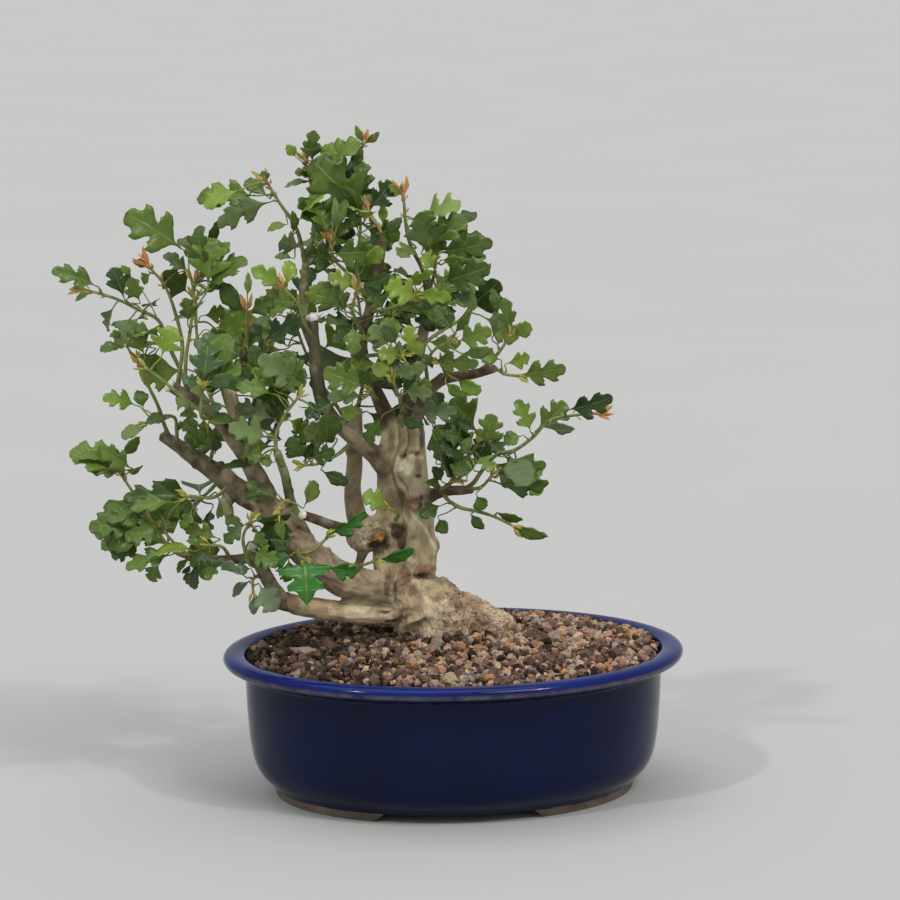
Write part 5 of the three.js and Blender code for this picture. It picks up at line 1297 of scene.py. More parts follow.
# Shoots. Each is (name, places of its stem from inside the wood outwards, its leaves), and where it has a
# side stem, also where that leaves the stem and its places. A leaf is (kind, where on the stem, base and tip
# as across, up and depth, width seen from the front, turn in degrees). From 1 on it is on the side stem.
SHOOTS = [
    ("left_tall", [
        (-119, 183, -14), (-119.5, 189, -14), (-119, 200, -14), (-116.6, 214, -13), (-114.4, 233, -12),
    ], [
        ("five", 0.92, -120, 249, -14, -145, 265, -20, 20, 10),
        ("five", 0.66, -108.5, 233, -16, -107, 254, -12, 21, 12),
        ("plain", 0.99, -108, 251, -9, -103.5, 262, -12, 4, 20),
        ("plain", 0.84, -103, 235, -10, -93, 221, -14, 8, 25),
        ("lobed", 0.5, -118, 216, -18, -119, 227, -20, 8, 30),
        ("lobed", 0.55, -111, 219, -9, -101.5, 222, -6, 8, 30),
        ("lobed", 0.42, -109, 212.5, -18, -101, 212, -22, 5, 50),
    ]),
    ("left_thin", [
        (-123, 185, -13), (-122.5, 191, -11), (-120.5, 205, -6), (-123, 219, -4), (-128, 233, -3),
        (-134, 240.5, -4),
    ], [
        ("plain", 0.99, -136, 241, -5, -142, 243.5, -7, 3.5, 40),
        ("lobed", 0.94, -133.5, 238.5, -1, -137.5, 234, 3, 5, 30),
        ("broad", 0.82, -120, 240.5, -1, -128, 246.5, 1, 5, 40),
    ]),
    ("far_left", [
        (-118, 182.5, -14), (-120.5, 191.5, -6), (-126, 204, -2), (-131, 217, -2), (-140, 222, -4),
        (-150, 227, -6), (-163, 231, -10),
    ], [
        ("five", 0.88, -158, 232.5, -10, -178, 240, -16, 10, 20),
        ("lobed", 0.66, -146, 227, -6, -151, 241, -2, 11, 10),
        ("plain", 0.96, -161, 229.5, -8, -168, 226, -6, 3, 50),
        ("plain", 0.42, -143, 237, -4, -147, 242, -5, 3.5, 20),
        ("plain", 0.56, -144.5, 227, 2, -140, 235, 6, 4, 40),
    ]),
    ("left_olive", [(-127, 163, 7), (-130, 171, 3), (-132, 178, 0), (-136, 187, -4), (-140, 197, -8)], [
        ("lobed", 0.8, -132, 203, 2, -137.5, 194.5, 6, 10, 20),
        ("broad", 0.99, -147, 205, -12, -157.5, 203.5, -18, 4.5, 40),
        ("lobed", 0.9, -134, 211, 2, -143.5, 215, 4, 5, 30),
        ("plain", 0.97, -148.5, 209, -12, -151.5, 213, -14, 3.5, 0),
        ("broad", 0.95, -134, 204.5, -2, -146, 206, -4, 4.5, 45),
    ]),
    ("left_lime", [
        (-106, 171, -16), (-111, 174.5, -19), (-122, 183, -23), (-130, 190, -26), (-136.5, 195, -28),
    ], [
        ("five", 0.96, -130, 201, -28, -124, 214, -26, 15, 0),
    ]),
    ("left_mid", [(-124, 160, 7), (-124, 167, 1), (-125, 173, -4), (-131, 173.5, -8), (-137, 171, -10)], [
        ("five", 0.9, -142, 178.5, -6, -157, 182, -10, 9, 25),
        ("broad", 0.98, -138, 169, -12, -149, 164, -16, 5.5, 40),
        ("plain", 0.6, -128, 172.5, -12, -138, 170, -16, 5, 40),
        ("plain", 0.84, -139, 178, -4, -141.5, 185.5, -2, 6, 20),
    ]),
    ("low_far", [
        (-119, 108.4, -12), (-125, 110.5, -11), (-130, 115, -9), (-135, 123, -7), (-140, 132, -6),
        (-149, 146, -6),
    ], [
        ("plain", 0.99, -154, 154, -8, -170.5, 154.5, -16, 4, 50),
        ("lobed", 0.97, -148.5, 148, -8, -164, 149.5, -14, 9, 25),
        ("plain", 0.98, -149, 156, -2, -141, 164.5, 2, 5, 30),
        ("plain", 0.94, -147.5, 149, 0, -139.5, 151, 6, 2.5, 55),
    ]),
    ("low_left", [(-117, 108.3, -12), (-122.5, 111.5, -16), (-127, 116, -18), (-131, 121, -20)], [
        ("five", 0.98, -143, 124, -20, -165, 122, -26, 15, 15),
        ("broad", 0.9, -143, 119, -14, -159.5, 112.5, -16, 7, 35),
        ("lobed", 0.7, -129.5, 114, -15, -143, 120, -11, 9, 20),
        ("five", 0.4, -127.5, 110, -22, -148.5, 103, -30, 10, 30),
        ("lobed", 0.3, -133, 107, -14, -137.5, 98, -10, 8, 10),
        ("lobed", 0.99, -126, 134, -24, -146, 131, -28, 8, 30),
        ("plain", 0.1, -120, 108, -18, -125, 101, -22, 3, 50),
    ]),
    ("low_upper", [(-100, 145, -4), (-104, 138.5, -9), (-109, 136, -11), (-119, 137, -14)], [
        ("five", 0.99, -121.5, 136.5, -15, -149, 135.5, -20, 11, 20),
        ("plain", 0.7, -116, 134, -13, -122, 121, -14, 6, 30),
    ]),
    ("low_mid", [(-101, 107.4, -12), (-103, 111.5, -15), (-105, 113.5, -17), (-110, 114, -19)], [
        ("five", 0.9, -106, 117, -14, -121, 121.5, -10, 10, 10),
        ("plain", 0.99, -112.5, 113.5, -22, -121, 116, -24, 4, 40),
        ("plain", 0.97, -117, 111.5, -24, -137, 109, -32, 4, 62),
    ]),
    ("low_hang", [(-84, 98, -10), (-89, 99.5, -14), (-91, 98, -16), (-91, 93, -18)], [
        ("plain", 0.99, -90.7, 90, -19, -91, 81.5, -20, 4.5, 0),
        ("lobed", 0.7, -88, 95.5, -22, -80, 83.5, -28, 13, 10),
        ("lobed", 0.3, -94, 99, -18, -110, 106, -24, 5, 140),
        ("plain", 0.1, -92.5, 103, -15, -100, 101.5, -18, 5, 20),
        ("plain", 0.6, -93, 97, -12, -100, 90, -8, 4, 35),
    ]),
    ("front_low", [(-64, 117, -10), (-69, 112.5, -17), (-71, 110.5, -21), (-68.5, 108, -27)], [
        ("star", 0.98, -67.5, 106, -31, -66.5, 85.5, -36, 25, 0),
        ("broad", 0.4, -73.5, 109.5, -24, -83, 104.5, -27, 7, 25),
        ("lobed", 0.96, -58, 103.5, -27, -43, 101.5, -22, 8, 20),
        ("five", 1.98, -56.5, 118.8, -20, -39, 128.5, -24, 7.5, 30),
    ], 0.6, [(-64, 111, -22), (-57.5, 116.5, -19)]),
    ("trunk_left", [(-27, 124, 3), (-24.5, 127, -6), (-25, 128.3, -9), (-28, 130, -12)], [
        ("lobed", 0.98, -30, 131, -14, -41, 136.5, -18, 10, 20),
    ]),
    ("base_left", [(-44, 98, -3), (-42, 104, -9), (-40, 104.6, -11), (-37, 105.6, -13)], [
        ("broad", 0.98, -34.5, 107, -14, -17.5, 111.5, -16, 5.5, 40),
    ]),
    ("stalks", [(-87, 104, -11), (-92, 105, -16), (-94, 110, -19), (-95, 118, -21), (-92, 124.5, -22)], [
        ("lobed", 0.98, -94, 123.5, -24, -103.5, 115, -27, 8, 10),
        ("lobed", 0.95, -87, 122, -22, -80.5, 110.5, -22, 5, 40),
        ("plain", 0.97, -89, 125.5, -24, -72.5, 128.8, -28, 4, 55),
    ]),
    ("green_side", [(-72.6, 132.5, -7.5), (-75, 134.5, -24), (-77, 133.5, -26), (-78, 131.5, -27)], [
        ("broad", 0.3, -79.5, 137.2, -22, -94, 136, -18, 6, 35),
        ("broad", 0.1, -67, 132, -24, -62, 143.5, -22, 6.5, 30),
        ("plain", 0.5, -88, 139.5, -27, -93.5, 142.5, -28, 4.5, 20),
        ("plain", 0.98, -77.5, 127, -28, -77, 116, -30, 4.5, 40),
    ]),
    ("mid_left", [
        (-76.5, 150, -23.3), (-79.2, 158, -24.2), (-79.3, 165, -24.5), (-75.5, 173, -24.5),
        (-69.5, 181, -24),
    ], [
        ("lobed", 0.74, -80, 183, -28, -97, 187, -32, 9, 25),
        ("lobed", 0.8, -77, 184, -25, -70, 190.5, -25, 8, 10),
        ("five", 0.3, -78, 167, -12, -77.5, 181.5, -8, 10, 10),
        ("five", 0.14, -82.5, 163, -25, -101, 168, -29, 13, 15),
        ("broad", 0.22, -84, 166, -14, -91.5, 176.5, -10, 7, 20),
        ("lobed", 0.05, -84, 154, -23, -93, 156, -25, 8, 20),
        ("plain", 0.18, -97, 171, -20, -110, 170.5, -22, 5, 40),
        ("plain", 0.02, -81, 152, -24, -87, 152.5, -26, 5, 20),
        ("plain", 0.03, -90, 150.5, -20, -104.5, 149, -22, 3.5, 55),
    ]),
    ("left_twig", [(-110, 151, 2), (-108.5, 155.5, -2), (-108, 159, -4), (-110, 166, -5)], [
        ("lobed", 0.3, -109.8, 159, -8, -119.5, 167.5, -12, 8, 20),
        ("plain", 0.15, -106.8, 157, -8, -106.8, 164.5, -10, 4.5, 10),
        ("lobed", 0.98, -113, 169, -3, -124.5, 168, 2, 6, 30),
    ]),
    ("left_blue", [(-107, 173, -16), (-112, 172.5, -22), (-113, 175, -25), (-112, 185, -28)], [
        ("five", 0.98, -111.5, 188.5, -28, -108, 211.5, -24, 16, 0),
        ("broad", 0.97, -109.5, 187.5, -31, -98, 191.5, -35, 7, 25),
        ("plain", 0.5, -109, 178, -28, -103, 178, -30, 4.5, 20),
        ("lobed", 0.95, -113.5, 187.5, -31, -121.5, 190.5, -35, 6, 25),
        ("plain", 0.99, -106, 203, -20, -98, 204, -16, 6, 20),
    ]),
    ("left_centre", [(-94.8, 195, -6.2), (-91.9, 205, -8.2), (-91.6, 213, -11), (-91.4, 220.5, -13)], [
        ("lobed", 0.96, -90, 221, -15, -79, 226.5, -18, 8, 15),
        ("broad", 0.03, -87.5, 192.5, -16, -88.5, 205.5, -18, 7, 0),
        ("plain", 0.99, -91, 228, -14, -90.5, 238.5, -15, 3, 30),
        ("plain", 0.04, -94.5, 200.5, -13, -102, 201, -14, 4.5, 35),
        ("plain", 0.98, -93, 222, -10, -99.5, 223, -8, 4.5, 30),
    ]),
    ("left_gloss", [(-99, 183, -5), (-94, 189, 0), (-88, 194, 1), (-83, 203, -3)], [
        ("five", 0.98, -83.5, 207, -8, -65, 217, -16, 12, -20),
        ("broad", 0.95, -84.5, 208, -1, -89.5, 214.5, 3, 6.5, 10),
    ]),
    ("white_left", [
        (-61.5, 208, -12), (-66, 216, -17), (-67, 221, -18), (-70, 226, -19), (-74, 230, -20),
    ], [
        ("lobed", 0.98, -75, 231.5, -21, -89, 240, -26, 9, 15),
        ("broad", 0.95, -73.5, 232, -18, -72, 243.5, -14, 7, 20),
        ("lobed", 0.1, -63.8, 223.5, -20, -60, 232.5, -22, 8, 20),
    ]),
    ("crown_left", [
        (-64.7, 240, -4.8), (-66.5, 250.5, -3), (-69, 259, -4), (-75, 268, -6), (-81, 278, -8),
    ], [
        ("five", 0.72, -79, 270, -10, -103.5, 259, -16, 12, 155),
        ("five", 0.8, -86.5, 272.5, -4, -109, 272.5, -6, 14, 15),
        ("broad", 0.84, -81, 272, 0, -91, 279.5, 4, 7, 20),
        ("plain", 0.98, -81.5, 279, -9, -83.5, 283.5, -10, 4.5, 10),
        ("lobed", 0.1, -66.5, 249, -9, -76.5, 251, -13, 10, 160),
        ("plain", 0.5, -73, 259.5, -6, -81.5, 256.5, -10, 3.5, 50),
        ("plain", 0.05, -71, 244.5, 0, -78.5, 245, 2, 3.5, 45),
        ("plain", 0.2, -70, 256, -10, -70.5, 266, -12, 3.5, 30),
    ]),
    ("crown_tall", [(-63.6, 245.5, -2), (-61.5, 253, 2), (-60.5, 264, 3), (-61.5, 276, 3), (-64, 287, 2)], [
        ("lobed", 0.98, -63, 288.5, 0, -60, 301.5, -2, 8, 10),
        ("plain", 0.96, -68.5, 290, 0, -72.5, 295, -1, 4.5, 10),
        ("lobed", 0.3, -60, 258.5, -4, -67, 271.5, -8, 9, 20),
        ("lobed", 0.7, -60.5, 281, -3, -69, 282.5, -7, 5, 35),
        ("plain", 0.6, -62, 278.5, -2, -73.5, 276, -6, 2.5, 55),
        ("plain", 0.1, -57.5, 261, -2, -66, 262.5, -12, 4.5, 30),
    ]),
    ("crown_mid", [(-32, 240, -6), (-30.5, 254, -7), (-32, 258, -6), (-36, 263, -5)], [
        ("five", 0.98, -38, 264, -6, -61, 288, -12, 26, 0),
        ("five", 0.95, -36, 266, -3, -26, 278.5, 1, 12, 15),
        ("plain", 0.3, -30, 260, -2, -30, 268.5, -2, 4, 10),
        ("plain", 1.98, -38.5, 296, 6, -41.5, 303.5, 5, 3, 0),
        ("plain", 1.97, -37, 295.5, 6, -31, 300.5, 6, 3, 20),
        ("plain", 1.7, -43, 285, 3, -39, 294, 1, 5, 10),
        ("plain", 0.05, -28.5, 256.5, -10, -21.5, 262.5, -13, 5, 30),
        ("lobed", 0.5, -41, 256.5, -10, -45, 265.5, -13, 6, 20),
    ], 0.5, [(-38, 268, 2), (-43, 278, 6), (-42, 288, 6), (-38, 295, 6)]),
    ("crown_low", [
        (-36.2, 224, -4), (-41, 232, -10), (-47, 238.5, -13), (-52, 244, -14), (-53, 251, -15),
    ], [
        ("five", 0.62, -53, 246.5, -18, -34.5, 247, -15, 15, 10),
        ("five", 0.75, -54, 248, -10, -50, 259.5, -8, 10, 10),
        ("broad", 0.15, -38, 240.5, -17, -31, 249.5, -20, 7, 20),
        ("plain", 0.98, -52.5, 258, -15, -51, 272, -14, 3.5, 20),
        ("plain", 0.96, -50, 259, -18, -46, 268, -19, 3, 10),
    ]),
    ("crown_right", [(-10.6, 230, 19), (-13, 240, 12), (-17, 248, 4), (-19.5, 257, 1), (-20.5, 271.5, 0)], [
        ("five", 0.98, -21, 272, 0, -27, 276.5, -2, 6, 10),
        ("broad", 0.5, -18, 261.5, -2, -6, 264.5, -5, 6, 35),
        ("lobed", 0.15, -10, 245, -2, -10.5, 260.5, -4, 11, 10),
        ("plain", 0.1, -4, 251, 6, -2, 260.5, 4, 3.5, 10),
    ]),
    ("right_top", [(-10.4, 227, 20), (-9, 231, 10), (-8, 234, 1), (-7, 238.5, -5), (-6.5, 243, -9)], [
        ("five", 0.98, -5.5, 246, -10, 19, 251, -16, 13, 15),
        ("plain", 0.9, -3, 243, -12, 7.5, 243, -16, 6, 30),
        ("five", 0.6, -4, 233, -12, 18, 240.5, -20, 15, 10),
        ("lobed", 0.7, -7, 239, -14, -12.5, 246, -17, 8, 10),
        ("broad", 0.4, -5, 230.5, -6, 5, 227, -10, 5, 30),
    ]),
    ("right_lime", [(-36.4, 220, -4), (-30, 221, -11), (-24, 222.5, -15), (-17, 226.5, -17)], [
        ("lobed", 0.98, -15, 229.5, -18, 0.5, 226, -24, 8, 20),
        ("five", 0.8, -15, 225, -20, -30, 232.5, -24, 13, 10),
        ("lobed", 0.6, -23, 233, -12, -8, 238.5, -10, 6, 35),
    ]),
    ("front_up", [(-38.8, 209, -2), (-41, 213, -12), (-42.5, 216, -20), (-44, 222, -26), (-42, 229, -29)], [
        ("five", 0.94, -43, 231.5, -31, -55, 236.5, -35, 10, 15),
        ("lobed", 0.98, -40, 232, -29, -27, 236, -27, 8, 20),
        ("lobed", 0.5, -49.5, 221.5, -29, -59, 233.5, -33, 10, 10),
        ("lobed", 0.3, -47, 219, -19, -52, 233, -16, 8, 20),
        ("five", 0.2, -30, 221, -24, -37, 230, -27, 11, 10),
    ]),
    ("front_pale", [
        (-39.6, 200, 0), (-34, 200.5, -12), (-29, 201, -22), (-25, 202, -31), (-22, 201, -37),
    ], [
        ("five", 0.5, -28, 204.5, -33, -36.5, 213.5, -37, 12, 10),
        ("lobed", 0.4, -24, 211, -27, -31.5, 215.5, -25, 8, 10),
        ("broad", 0.9, -24.5, 205, -39, -30.5, 214, -43, 7, 15),
        ("lobed", 0.98, -19.5, 204, -38, -19, 214, -39, 8, 15),
        ("lobed", 0.8, -23.5, 198.5, -39, -33, 201.5, -44, 8, 20),
    ]),
    ("top_front", [(-10, 185, 0), (-11, 191, -11), (-11, 197, -19), (-7, 203, -26), (-1, 206, -30)], [
        ("lobed", 0.6, -11, 206.5, -22, 4.5, 205.5, -24, 8, 20),
        ("five", 0.98, 3, 206.5, -31, 18.5, 211.5, -36, 12, 10),
        ("five", 0.9, 1, 211, -27, -7.5, 222.5, -25, 9, 10),
        ("plain", 0.97, 2, 210.5, -33, 9, 221, -36, 4, 20),
        ("plain", 0.95, 6, 201, -31, 19, 203, -36, 5, 30),
    ]),
    ("top_low", [(-2, 189.3, -4.8), (-2.5, 191.5, -11), (-3.5, 194, -16), (-5, 196.5, -19)], [
        ("five", 0.98, -8.5, 198.5, -21, 12, 196, -28, 11, 15),
        ("broad", 0.2, 2.5, 189, -18, 13.5, 183.5, -24, 7, 20),
        ("plain", 0.1, -2, 187, -17, 5.5, 181, -20, 5, 20),
    ]),
    ("top_right", [(11, 191.8, -10.2), (17, 196.5, -10), (22, 202, -11), (26, 208, -12)], [
        ("lobed", 0.98, 25.5, 209.5, -12, 23.5, 226, -14, 8, 20),
        ("plain", 0.8, 21, 219, -8, 18.5, 230.5, -6, 5, 10),
        ("broad", 0.95, 28, 209, -14, 35.5, 214, -17, 7, 20),
        ("broad", 0.5, 18.5, 208, -8, 20.5, 220, -6, 6, 30),
    ]),
    ("right_tip", [(12, 192, -10.4), (20.5, 193.6, -12), (23.5, 191.5, -13), (29, 190.5, -15)], [
        ("five", 0.98, 31, 191, -16, 51.5, 194, -22, 12, 15),
        ("lobed", 0.5, 24.5, 196, -11, 35, 199.5, -8, 8, 20),
        ("broad", 0.3, 21.5, 198, -15, 13, 199.5, -19, 7, 20),
    ]),
    ("right_far", [
        (5, 138.6, -4.5), (9.8, 142, -6.4), (12.5, 146, -7), (20, 154.5, -8), (28, 156.5, -8),
        (36, 162, -8), (44, 170, -9), (56, 172.4, -11), (64, 173, -12),
    ], [
        ("five", 0.6, 38, 165.5, -4, 51.5, 178, 0, 15, 10),
        ("five", 0.55, 35.5, 165, -11, 29.5, 179.5, -13, 10, 15),
        ("five", 0.8, 52, 174.8, -13, 72.5, 180.5, -18, 11, 20),
        ("broad", 0.5, 31, 163, -14, 23.5, 160.5, -17, 7, 20),
        ("plain", 0.7, 44.5, 168, -15, 55.5, 166, -19, 5, 30),
        ("plain", 0.25, 25, 152.8, -10, 28.5, 149.5, -12, 4, 10),
    ]),
    ("right_mid", [(-3, 138, 0.5), (0.5, 144.5, -6), (4, 150, -10), (8.5, 155, -13), (11.5, 160, -14)], [
        ("five", 0.9, 14.5, 159.5, -17, 18, 173.5, -21, 13, 10),
        ("lobed", 0.98, 11, 165.5, -12, 1, 170, -9, 8, 20),
        ("lobed", 0.5, -8.5, 168, -16, -4, 151.5, -19, 8, 20),
        ("plain", 0.6, 9, 163, -19, 4.5, 154.5, -22, 5, 20),
        ("plain", 0.7, 0.5, 169, -14, 9, 162, -16, 5, 40), ("plain", 0.4, -3, 165, -8, 1, 157, -9, 6, 20),
    ]),
    ("right_out", [(7, 138.8, -6), (12.5, 139.6, -9.5), (15, 141.5, -11), (17, 144, -12)], [
        ("five", 0.98, 18.5, 146, -12, 42.5, 150.5, -14, 10, 20),
        ("lobed", 0.85, 18.5, 142.5, -15, 44, 142, -22, 8, 35),
        ("broad", 0.2, 11, 136, -13, 14.5, 129.5, -15, 7, 20),
    ]),
    ("right_low", [
        (-4, 137, 1), (-1.5, 133.5, -6), (4, 130.3, -9), (12, 128.5, -11), (20, 125.6, -13),
        (27, 122, -15),
    ], [
        ("plain", 0.98, 28.3, 121.2, -15, 43.5, 117, -20, 5, 30),
        ("lobed", 0.05, -5, 131.5, -12, -15, 126.5, -16, 8, 20),
        ("plain", 0.7, 20.5, 128, -12, 32, 124.6, -10, 4, 45),
        ("plain", 0.4, 8.5, 127, -14, 14.5, 120.5, -16, 5, 30),
        ("plain", 0.15, -6, 125, -9, -2.5, 118.5, -12, 6, 20),
    ]),
    ("right_near", [(-6, 137.8, 2), (-2.5, 140.5, -7), (-1, 141.8, -11), (2, 142.8, -14)], [
        ("five", 0.98, 3.5, 144.8, -15, -4.5, 153.5, -19, 9, 15),
        ("broad", 0.9, 6.5, 144, -12, 5.5, 154.5, -10, 7, 20),
        ("plain", 0.1, -5, 143, -13, -9, 149.5, -15, 5, 20),
        ("plain", 0.05, -5, 140, -14, -12.5, 142, -18, 4, 40),
    ]),
    ("front_broad", [
        (-33, 180, 3), (-35, 182, -9), (-35.5, 183.5, -18), (-36, 184.8, -26), (-37, 184.6, -31),
    ], [
        ("five", 0.98, -39, 186, -34, -57.5, 193.5, -41, 15, 5),
        ("lobed", 0.8, -39, 181.5, -30, -56, 181.5, -34, 8, 25),
        ("lobed", 0.5, -44.5, 179.5, -26, -47, 170.5, -28, 9, 10),
        ("five", 0.3, -52, 179, -20, -66, 173, -24, 11, 15),
        ("lobed", 0.4, -49, 172, -20, -58, 166, -22, 8, 20),
    ]),
    ("front_right", [
        (-20.5, 173.5, 5), (-22.5, 177, -9), (-23, 178.5, -17), (-24, 182.5, -25), (-26, 188, -30),
    ], [
        ("lobed", 0.98, -28, 192.5, -32, -11.5, 195.5, -34, 8, 25),
        ("five", 0.6, -21.5, 184.5, -27, -8.5, 183, -31, 9, 15),
        ("five", 0.3, -16, 175.5, -20, 3, 175, -27, 10, 15),
        ("lobed", 0.1, -31.5, 172, -17, -38.5, 160.5, -20, 8, 20),
        ("plain", 0.05, -22.5, 172, -19, -12.5, 168.5, -23, 4.5, 30),
    ]),
    ("front_left", [
        (-44, 162.5, -3), (-50, 156.5, -11), (-55, 153.5, -15), (-61, 151, -18), (-66, 150.5, -19),
    ], [
        ("five", 0.85, -64, 154, -22, -53, 157, -27, 10, 10),
        ("broad", 0.98, -67, 152.5, -18, -61.5, 160, -15, 7, 20),
        ("broad", 0.5, -58.5, 148, -21, -47, 142.5, -26, 6, 25),
        ("broad", 0.4, -60, 161, -13, -53.5, 167, -11, 7, 20),
    ]),
]

# Shoots on the far side: (name, places of the stem, number of leaves)
BACK_SHOOTS = [
    ("back_left", [(-87, 140, -11), (-90, 150, 4), (-94, 160, 16), (-100, 174, 26), (-104, 188, 30)], 4),
    ("back_left_low", [(-104, 146, 0), (-108, 141, 8), (-114, 135, 16), (-120, 128, 22)], 4),
    ("back_left_top", [
        (-104, 171, -16), (-108, 181, -4), (-112, 196, 8), (-114, 212, 16), (-114, 226, 20),
    ], 4),
    ("back_mid", [(-45, 166, 18), (-52, 178, 24), (-60, 190, 30), (-66, 204, 36), (-70, 216, 38)], 4),
    ("back_centre", [(-43, 174, 18), (-40, 186, 24), (-38, 200, 34), (-40, 216, 40), (-42, 230, 42)], 4),
    ("back_crown", [(-36, 222, -4), (-40, 230, 8), (-42, 242, 16), (-40, 256, 20), (-40, 266, 20)], 4),
    ("back_right", [(-14, 204, 22), (-6, 210, 28), (4, 216, 34), (12, 224, 36)], 4),
    ("back_right_low", [(-8, 137, 4), (-2, 141, 14), (8, 148, 24), (16, 158, 30)], 4),
]

LEAF_TONES = {
    "mid": [(112, 138, 54), (104, 130, 50), (122, 146, 60), (96, 122, 48)],
    "deep": [(74, 100, 42), (82, 108, 46), (66, 92, 42)],
    "lime": [(152, 176, 66), (140, 166, 60), (134, 162, 62)],
    # blue: green leaves with a painted bluish sheen of reflected sky
    "blue": [(98, 128, 78), (88, 118, 70)],
    "vivid": [(72, 142, 52), (64, 128, 48)],
    # grey: green leaves with a painted grey sheen
    "grey": [(134, 160, 124)],
}
SHOOT_TONES = {
    "left_lime": "lime", "right_lime": "lime", "crown_right": "lime", "right_out": "mid", "left_blue": "blue",
    "left_gloss": "blue", "low_left": "mid", "low_far": "mid", "base_left": "vivid", "low_upper": "deep",
    "front_left": "deep", "front_low": "vivid", "low_hang": "grey",
}
# How red the young leaflets at the end of a shoot are, where they differ from the rest
RED_TIPS = {
    "left_thin": 1.0, "far_left": 0.6, "crown_left": 0.6, "crown_mid": 1.0, "crown_right": 0.8,
    "right_far": 1.0, "left_centre": 0.8, "crown_tall": 0.4, "right_low": 0.3, "white_left": 0.6,
    "crown_low": 0.8, "left_tall": 0.7, "left_olive": 0.5, "front_up": 0.5,
}
REDNESS = 0.15
STEM_GREEN = linear(138, 150, 84)
STEM_BROWN = linear(120, 98, 66)
BUD_PINK = linear(182, 132, 98)
YOUNG_RED = linear(244, 178, 122)
YOUNG_YELLOW = linear(202, 204, 96)


def point_at(line, share):
    lengths = np.linalg.norm(np.diff(line, axis=0), axis=1)
    left = share * lengths.sum()
    run = 0
    while run < len(lengths) - 1 and left > lengths[run]:
        left -= lengths[run]
        run += 1
    way = unit(line[run + 1] - line[run])
    return line[run] + way * left, way


def seeded_draws(seed):
    """Even draws from 0 to 1, the same each time."""
    state = seed
    while True:
        state = (state + 0x6D2B79F5) & 0xFFFFFFFF
        mixed_bits = ((state ^ (state >> 15)) * (1 | state)) & 0xFFFFFFFF
        added = mixed_bits + (((mixed_bits ^ (mixed_bits >> 7)) * (61 | mixed_bits)) & 0xFFFFFFFF)
        mixed_bits = (added & 0xFFFFFFFF) ^ mixed_bits
        yield (mixed_bits ^ (mixed_bits >> 14)) / 4294967296


def row_leaf(lines, row, shift):
    kind, where, *ends, width, degrees = row
    turn = math.radians(degrees)
    base, tip = (seen(across, up, depth + shift) for across, up, depth in (ends[:3], ends[3:]))
    return {
        "kind": kind,
        "root": point_at(lines[int(where)], where % 1)[0],
        "base": base,
        "tip": tip,
        "width": width / max(abs(math.cos(turn)), NARROWEST_VIEW),
        "turn": turn,
    }


def round_leaf(line, index, count, draws, swing):
    """A leaf of a shoot on the far side, a step further round than the one before."""
    share = BACK_FIRST + (0.98 - BACK_FIRST) * index / (count - 1)
    spot, way = point_at(line, share)
    across = unit(np.cross((0, 0, 1), way))
    up = np.cross(way, across)
    angle = index * GOLDEN_ANGLE + swing
    out = across * math.cos(angle) + up * math.sin(angle)
    ahead = unit(out + way * (0.3 + 0.5 * draws[0]))
    base = spot + ahead * (6 + 3 * draws[1])
    length = 19 + 8 * draws[2]
    tip = base + ahead * length
    tip[2] -= length * 0.22
    return {
        "kind": "five" if draws[3] < 0.25 else "lobed",
        "root": spot,
        "base": base,
        "tip": tip,
        "width": length * (0.62 + 0.2 * draws[1]),
        "turn": 0.6 * (draws[0] - 0.5),
    }


def shoot_points(name):
    return read_rows(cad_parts["shoot_" + name].data.vertices, "co") / MM


def as_built(points, candidates):
    """The candidate whose blade has its tip at one of the solid's points, or None."""
    nearest, chosen = 0.15, None
    for leaf in candidates:
        _, facing, _ = leaf_directions(leaf["base"], leaf["tip"], leaf["turn"])
        tip = leaf["tip"] + facing * SOLID_BLADE_THICKNESS / 2
        away = np.linalg.norm(points - tip, axis=1).min()
        if away < nearest:
            nearest, chosen = away, leaf
    return chosen


def leaf_tone(name, leaf, draw):
    """Deep green inside and below, brighter at the crown, now and then a young yellow-green blade."""
    group = SHOOT_TONES.get(name)
    if group is None:
        height = leaf["tip"][2]
        chance = draw.random()
        if chance < 0.10 + 0.0008 * max(height - 180, 0):
            group = "lime"
        elif chance < 0.42 - 0.0012 * max(height - 150, 0):
            group = "deep"
        else:
            group = "mid"
    return linear(*draw.choice(LEAF_TONES[group])) * draw.uniform(0.82, 1.18)


def add_bud(shape, place, way, size, tone, draw):
    points, faces = ball(place + way * size * 0.8, size, way, draw, 6, 5, 1.5)
    shape.add(points, faces, tone, slot=STEM_SLOT)


def add_young_tip(shape, line, red, draw):
    """A tuft of slim unfolding leaflets where a shoot still grows, with scales on the stem below it."""
    end, way = line[-1], unit(line[-1] - line[-2])
    across = unit(np.cross(way, (0.2, -0.9, 0.3)))
    other = np.cross(way, across)
    tone = YOUNG_YELLOW * (1 - red) + YOUNG_RED * red
    add_bud(shape, end, way, 0.8, 0.5 * tone + 0.5 * BUD_PINK, draw)
    longest = 6.0 + 3.5 * red
    leaflets = [(end, draw.uniform(0.25, 0.75), draw.uniform(0.5, 1.0) * longest) for _ in range(LEAFLETS)]
    if red > 0.4:
        steps = [(k + 1) * SCALE_STEP for k in range(SCALES)]
        leaflets += [(end - way * step, draw.uniform(0.5, 1.1), draw.uniform(2.2, 3.6)) for step in steps]
    for index, (root, spread, length) in enumerate(leaflets):
        angle = index * GOLDEN_ANGLE + draw.uniform(-0.4, 0.4)
        out = across * math.cos(angle) + other * math.sin(angle)
        ahead = unit(way + out * spread)
        base = root + ahead * 1.2
        leaf = {
            "kind": "plain", "root": root - way * 0.3, "base": base, "tip": base + ahead * length,
            "width": length * draw.uniform(0.2, 0.34), "turn": draw.uniform(-0.8, 0.8),
        }
        add_leaf(shape, leaf, tone * draw.uniform(0.8, 1.2), draw)


